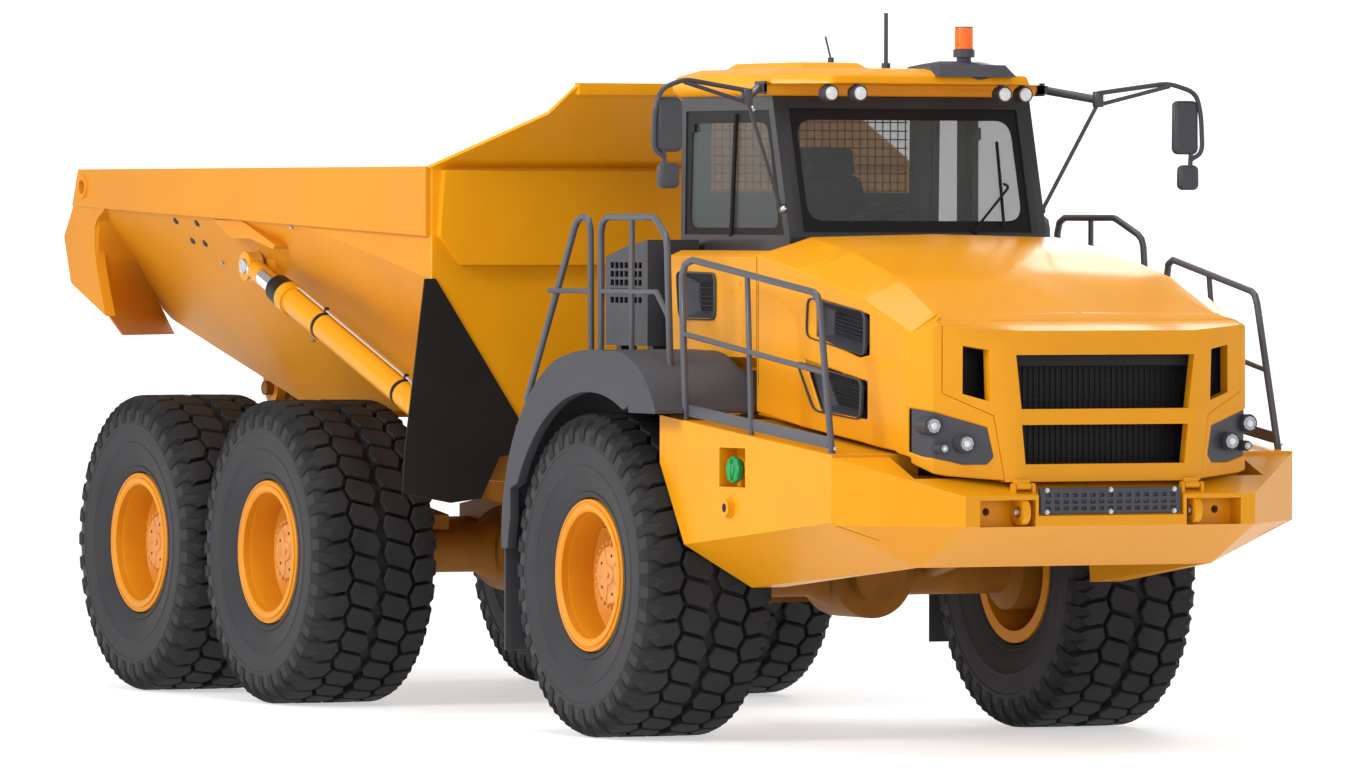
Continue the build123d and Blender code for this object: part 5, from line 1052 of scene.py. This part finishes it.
def make_mirrors():
    """Both mirror sets: bracket, arms, strut and two rounded heads, with glass behind."""
    top, hub = MIRROR_Z, (0.816, 1.131)
    form = bmesh.new()
    for side, _ in SIDES:
        def to(x, y, z):
            return at(x, side * y, z)

        def tube(start, end, radius, sides=14):
            add_tube(form, [start, end], radius, sides, to=to)

        plate, block = ROOF_HALF + 0.016, ROOF_HALF + 0.036
        add_box(form, (0.470, ROOF_HALF, top - 0.036), (0.590, plate, top + 0.038), to=to)
        add_box(form, (0.520, ROOF_HALF, top - 0.024), (0.590, block, top + 0.024), to=to)
        tube((0.545, ROOF_HALF + 0.028, top), (*hub, top - 0.058), 0.024, 18)
        sleeve = [(0, 0.028), (0.006, 0.032), (0.084, 0.032), (0.090, 0.028)]
        lathe(form, sleeve, (*hub, top - 0.100), (0, 0, 1), 24, to=to)
        arm = [
            (*hub, top - 0.020), (0.880, 1.560, top + 0.040), (0.913, 1.722, top - 0.014),
            (0.905, 1.760, top - 0.140), (0.908, 1.768, top - 0.360), (0.905, 1.690, top - 0.400),
        ]
        add_tube(form, rounded(arm, 0.060, 5, closed=False), 0.014, 14, to=to)
        tube((*hub, top - 0.088), (0.890, 1.560, top + 0.022), 0.012)
        tube((0.816, 1.125, top - 0.088), (0.680, 0.846, 3.014), 0.012)
        add_box(form, (0.660, 0.830, 2.990), (0.700, 0.852, 3.040), to=to)
        tube((0.895, 1.700, top - 0.355), (0.900, 1.690, top - 0.460), 0.014)
        soft_block(form, (0.862, 1.580, top - 0.370), (0.912, 1.745, top - 0.060), 0.036, to)
        soft_block(form, (0.880, 1.605, top - 0.575), (0.930, 1.740, top - 0.430), 0.034, to)
        for x, (y0, low), (y1, high) in MIRROR_GLASS:
            z0, z1 = top + low, top + high
            line = rounded([(y0, z0), (y1, z0), (y1, z1), (y0, z1)], 0.025)
            add_solid(form, [[(x + d, y, z) for y, z in line] for d in (0.004, 0.0)], 1, to)
    new_piece("mirror_sets", form, [DARK, CHROME], hides=("mirrors",))


COVER_LINE = [
    (0.600, 0.000), (0.740, -0.056), (0.890, 0.120), (0.915, 0.300), (0.900, 0.470),
    (0.820, 0.560), (0.600, 0.540),
]
COVER_FOLDS = [(1.0, 0.001), (1.0, 0.010), (0.97, 0.014), (0.70, 0.030), (0.40, 0.045)]


def make_roof_cover():
    """Folded dark plate that lies on the roof's front slope under the beacon."""
    tree = skin("cab_roof")
    form = bmesh.new()
    middle = Vector((0.76, 0.26))
    rings = []
    for share, lift in COVER_FOLDS:
        ring = []
        for corner in rounded(COVER_LINE, 0.04, 3):
            x, y = middle + (corner - middle) * share
            place, _ = meet(tree, (x, y, 5.0), (0, 0, -1))
            ring.append((x, y, (place.z if place is not None else 3.76) + lift))
        rings.append(ring)
    add_rings(form, rings, 0, (False, True))
    new_piece("roof_cover", form, DARK)


SEAM_STEPS = 9
SEAMS = [
    # nodes it lies on, (x, z) ends, half width
    (("side_boxes", "front_bumper"), (2.485, 1.655), (2.485, 1.300), 0.0035),
    (("side_boxes", "front_bumper"), (2.485, 1.300), (2.560, 1.190), 0.0035),
    (("bonnet",), (0.960, 2.600), (0.960, 2.020), 0.0030),
]


def make_seams():
    """Thin dark joint lines between the panels of the front body."""
    form = bmesh.new()
    trees = [skin(*names) for names, _, _, _ in SEAMS]
    for side, _ in SIDES:
        for tree, (_, start, end, half) in zip(trees, SEAMS):
            rings = []
            for k in range(SEAM_STEPS):
                x, z = Vector(start).lerp(Vector(end), k / (SEAM_STEPS - 1))
                place, normal = meet(tree, (x, side * FAR_OUT, z), (0, -side, 0))
                if place is None:
                    continue
                across = normal.cross(Vector((0, 0, 1))).normalized() * half
                sunk, proud = place - normal * 0.002, place + normal * 0.0006
                rings.append([sunk + across, proud + across, proud - across, sunk - across])
            if len(rings) > 1:
                add_solid(form, rings)
    new_piece("panel_seams", form, BLACK)


# ---- floor ----
FLOOR_REACH, WALL_RISE = 250.0, 90.0
NEAR_GLOW, FAR_GLOW = 0.85, 1.40     # light given off by the floor, near and far
NEAR_REACH, FAR_REACH = 8.0, 45.0
FLOOR_SIDES, WALL_STEPS = 96, 12


def floor_paint():
    """Pale paint whose own light grows away from the truck, so its shadow stays soft."""
    paint = surface("floor", (0.62, 0.62, 0.62), 0.6, specular=0.1, spread=0.01, glow=NEAR_GLOW)
    tree = paint.node_tree
    place = tree.nodes.new("ShaderNodeTexCoord")
    length = tree.nodes.new("ShaderNodeVectorMath")
    length.operation = "LENGTH"
    span = tree.nodes.new("ShaderNodeMapRange")
    span.inputs["From Min"].default_value = NEAR_REACH
    span.inputs["From Max"].default_value = FAR_REACH
    span.inputs["To Min"].default_value = NEAR_GLOW
    span.inputs["To Max"].default_value = FAR_GLOW
    shader = tree.nodes["Principled BSDF"]
    tree.links.new(place.outputs["Object"], length.inputs[0])
    tree.links.new(length.outputs["Value"], span.inputs["Value"])
    tree.links.new(span.outputs["Result"], shader.inputs["Emission Strength"])
    return paint


def make_floor():
    """Pale floor that sweeps up into a far wall, so that no edge shows."""
    form = bmesh.new()
    profile = [(0.01, 0.0), (20.0, 0.0), (FLOOR_REACH, 0.0)]
    for k in range(1, WALL_STEPS + 1):
        angle = math.pi / 2 * k / WALL_STEPS
        rise = WALL_RISE * (1 - math.cos(angle))
        profile.append((FLOOR_REACH + WALL_RISE * math.sin(angle), rise))
    rows = []
    for radius, z in profile:
        ring = [(radius * math.cos(a), radius * math.sin(a), z) for a in turns(FLOOR_SIDES)]
        rows.append([form.verts.new(p) for p in ring])
    for low, high in zip(rows, rows[1:]):
        for k in range(FLOOR_SIDES):
            n = (k + 1) % FLOOR_SIDES
            form.faces.new((low[k], low[n], high[n], high[k]))
    form.faces.new(list(reversed(rows[0])))
    mesh = bpy.data.meshes.new("floor")
    form.to_mesh(mesh)
    form.free()
    mesh.polygons.foreach_set("use_smooth", [True] * len(mesh.polygons))
    mesh.materials.append(floor_paint())
    floor = add_object("floor", mesh)


make_camera()
make_lights()
make_floor()
dress_nodes()
make_tyres()
make_rims()
make_vents()
make_grille()
make_lamps()
make_bumper()
make_bin_parts()
make_hoists()
make_frits()
make_wipers()
make_meshes()
make_cab_parts()
make_seat()
make_mirrors()
make_roof_cover()
make_seams()
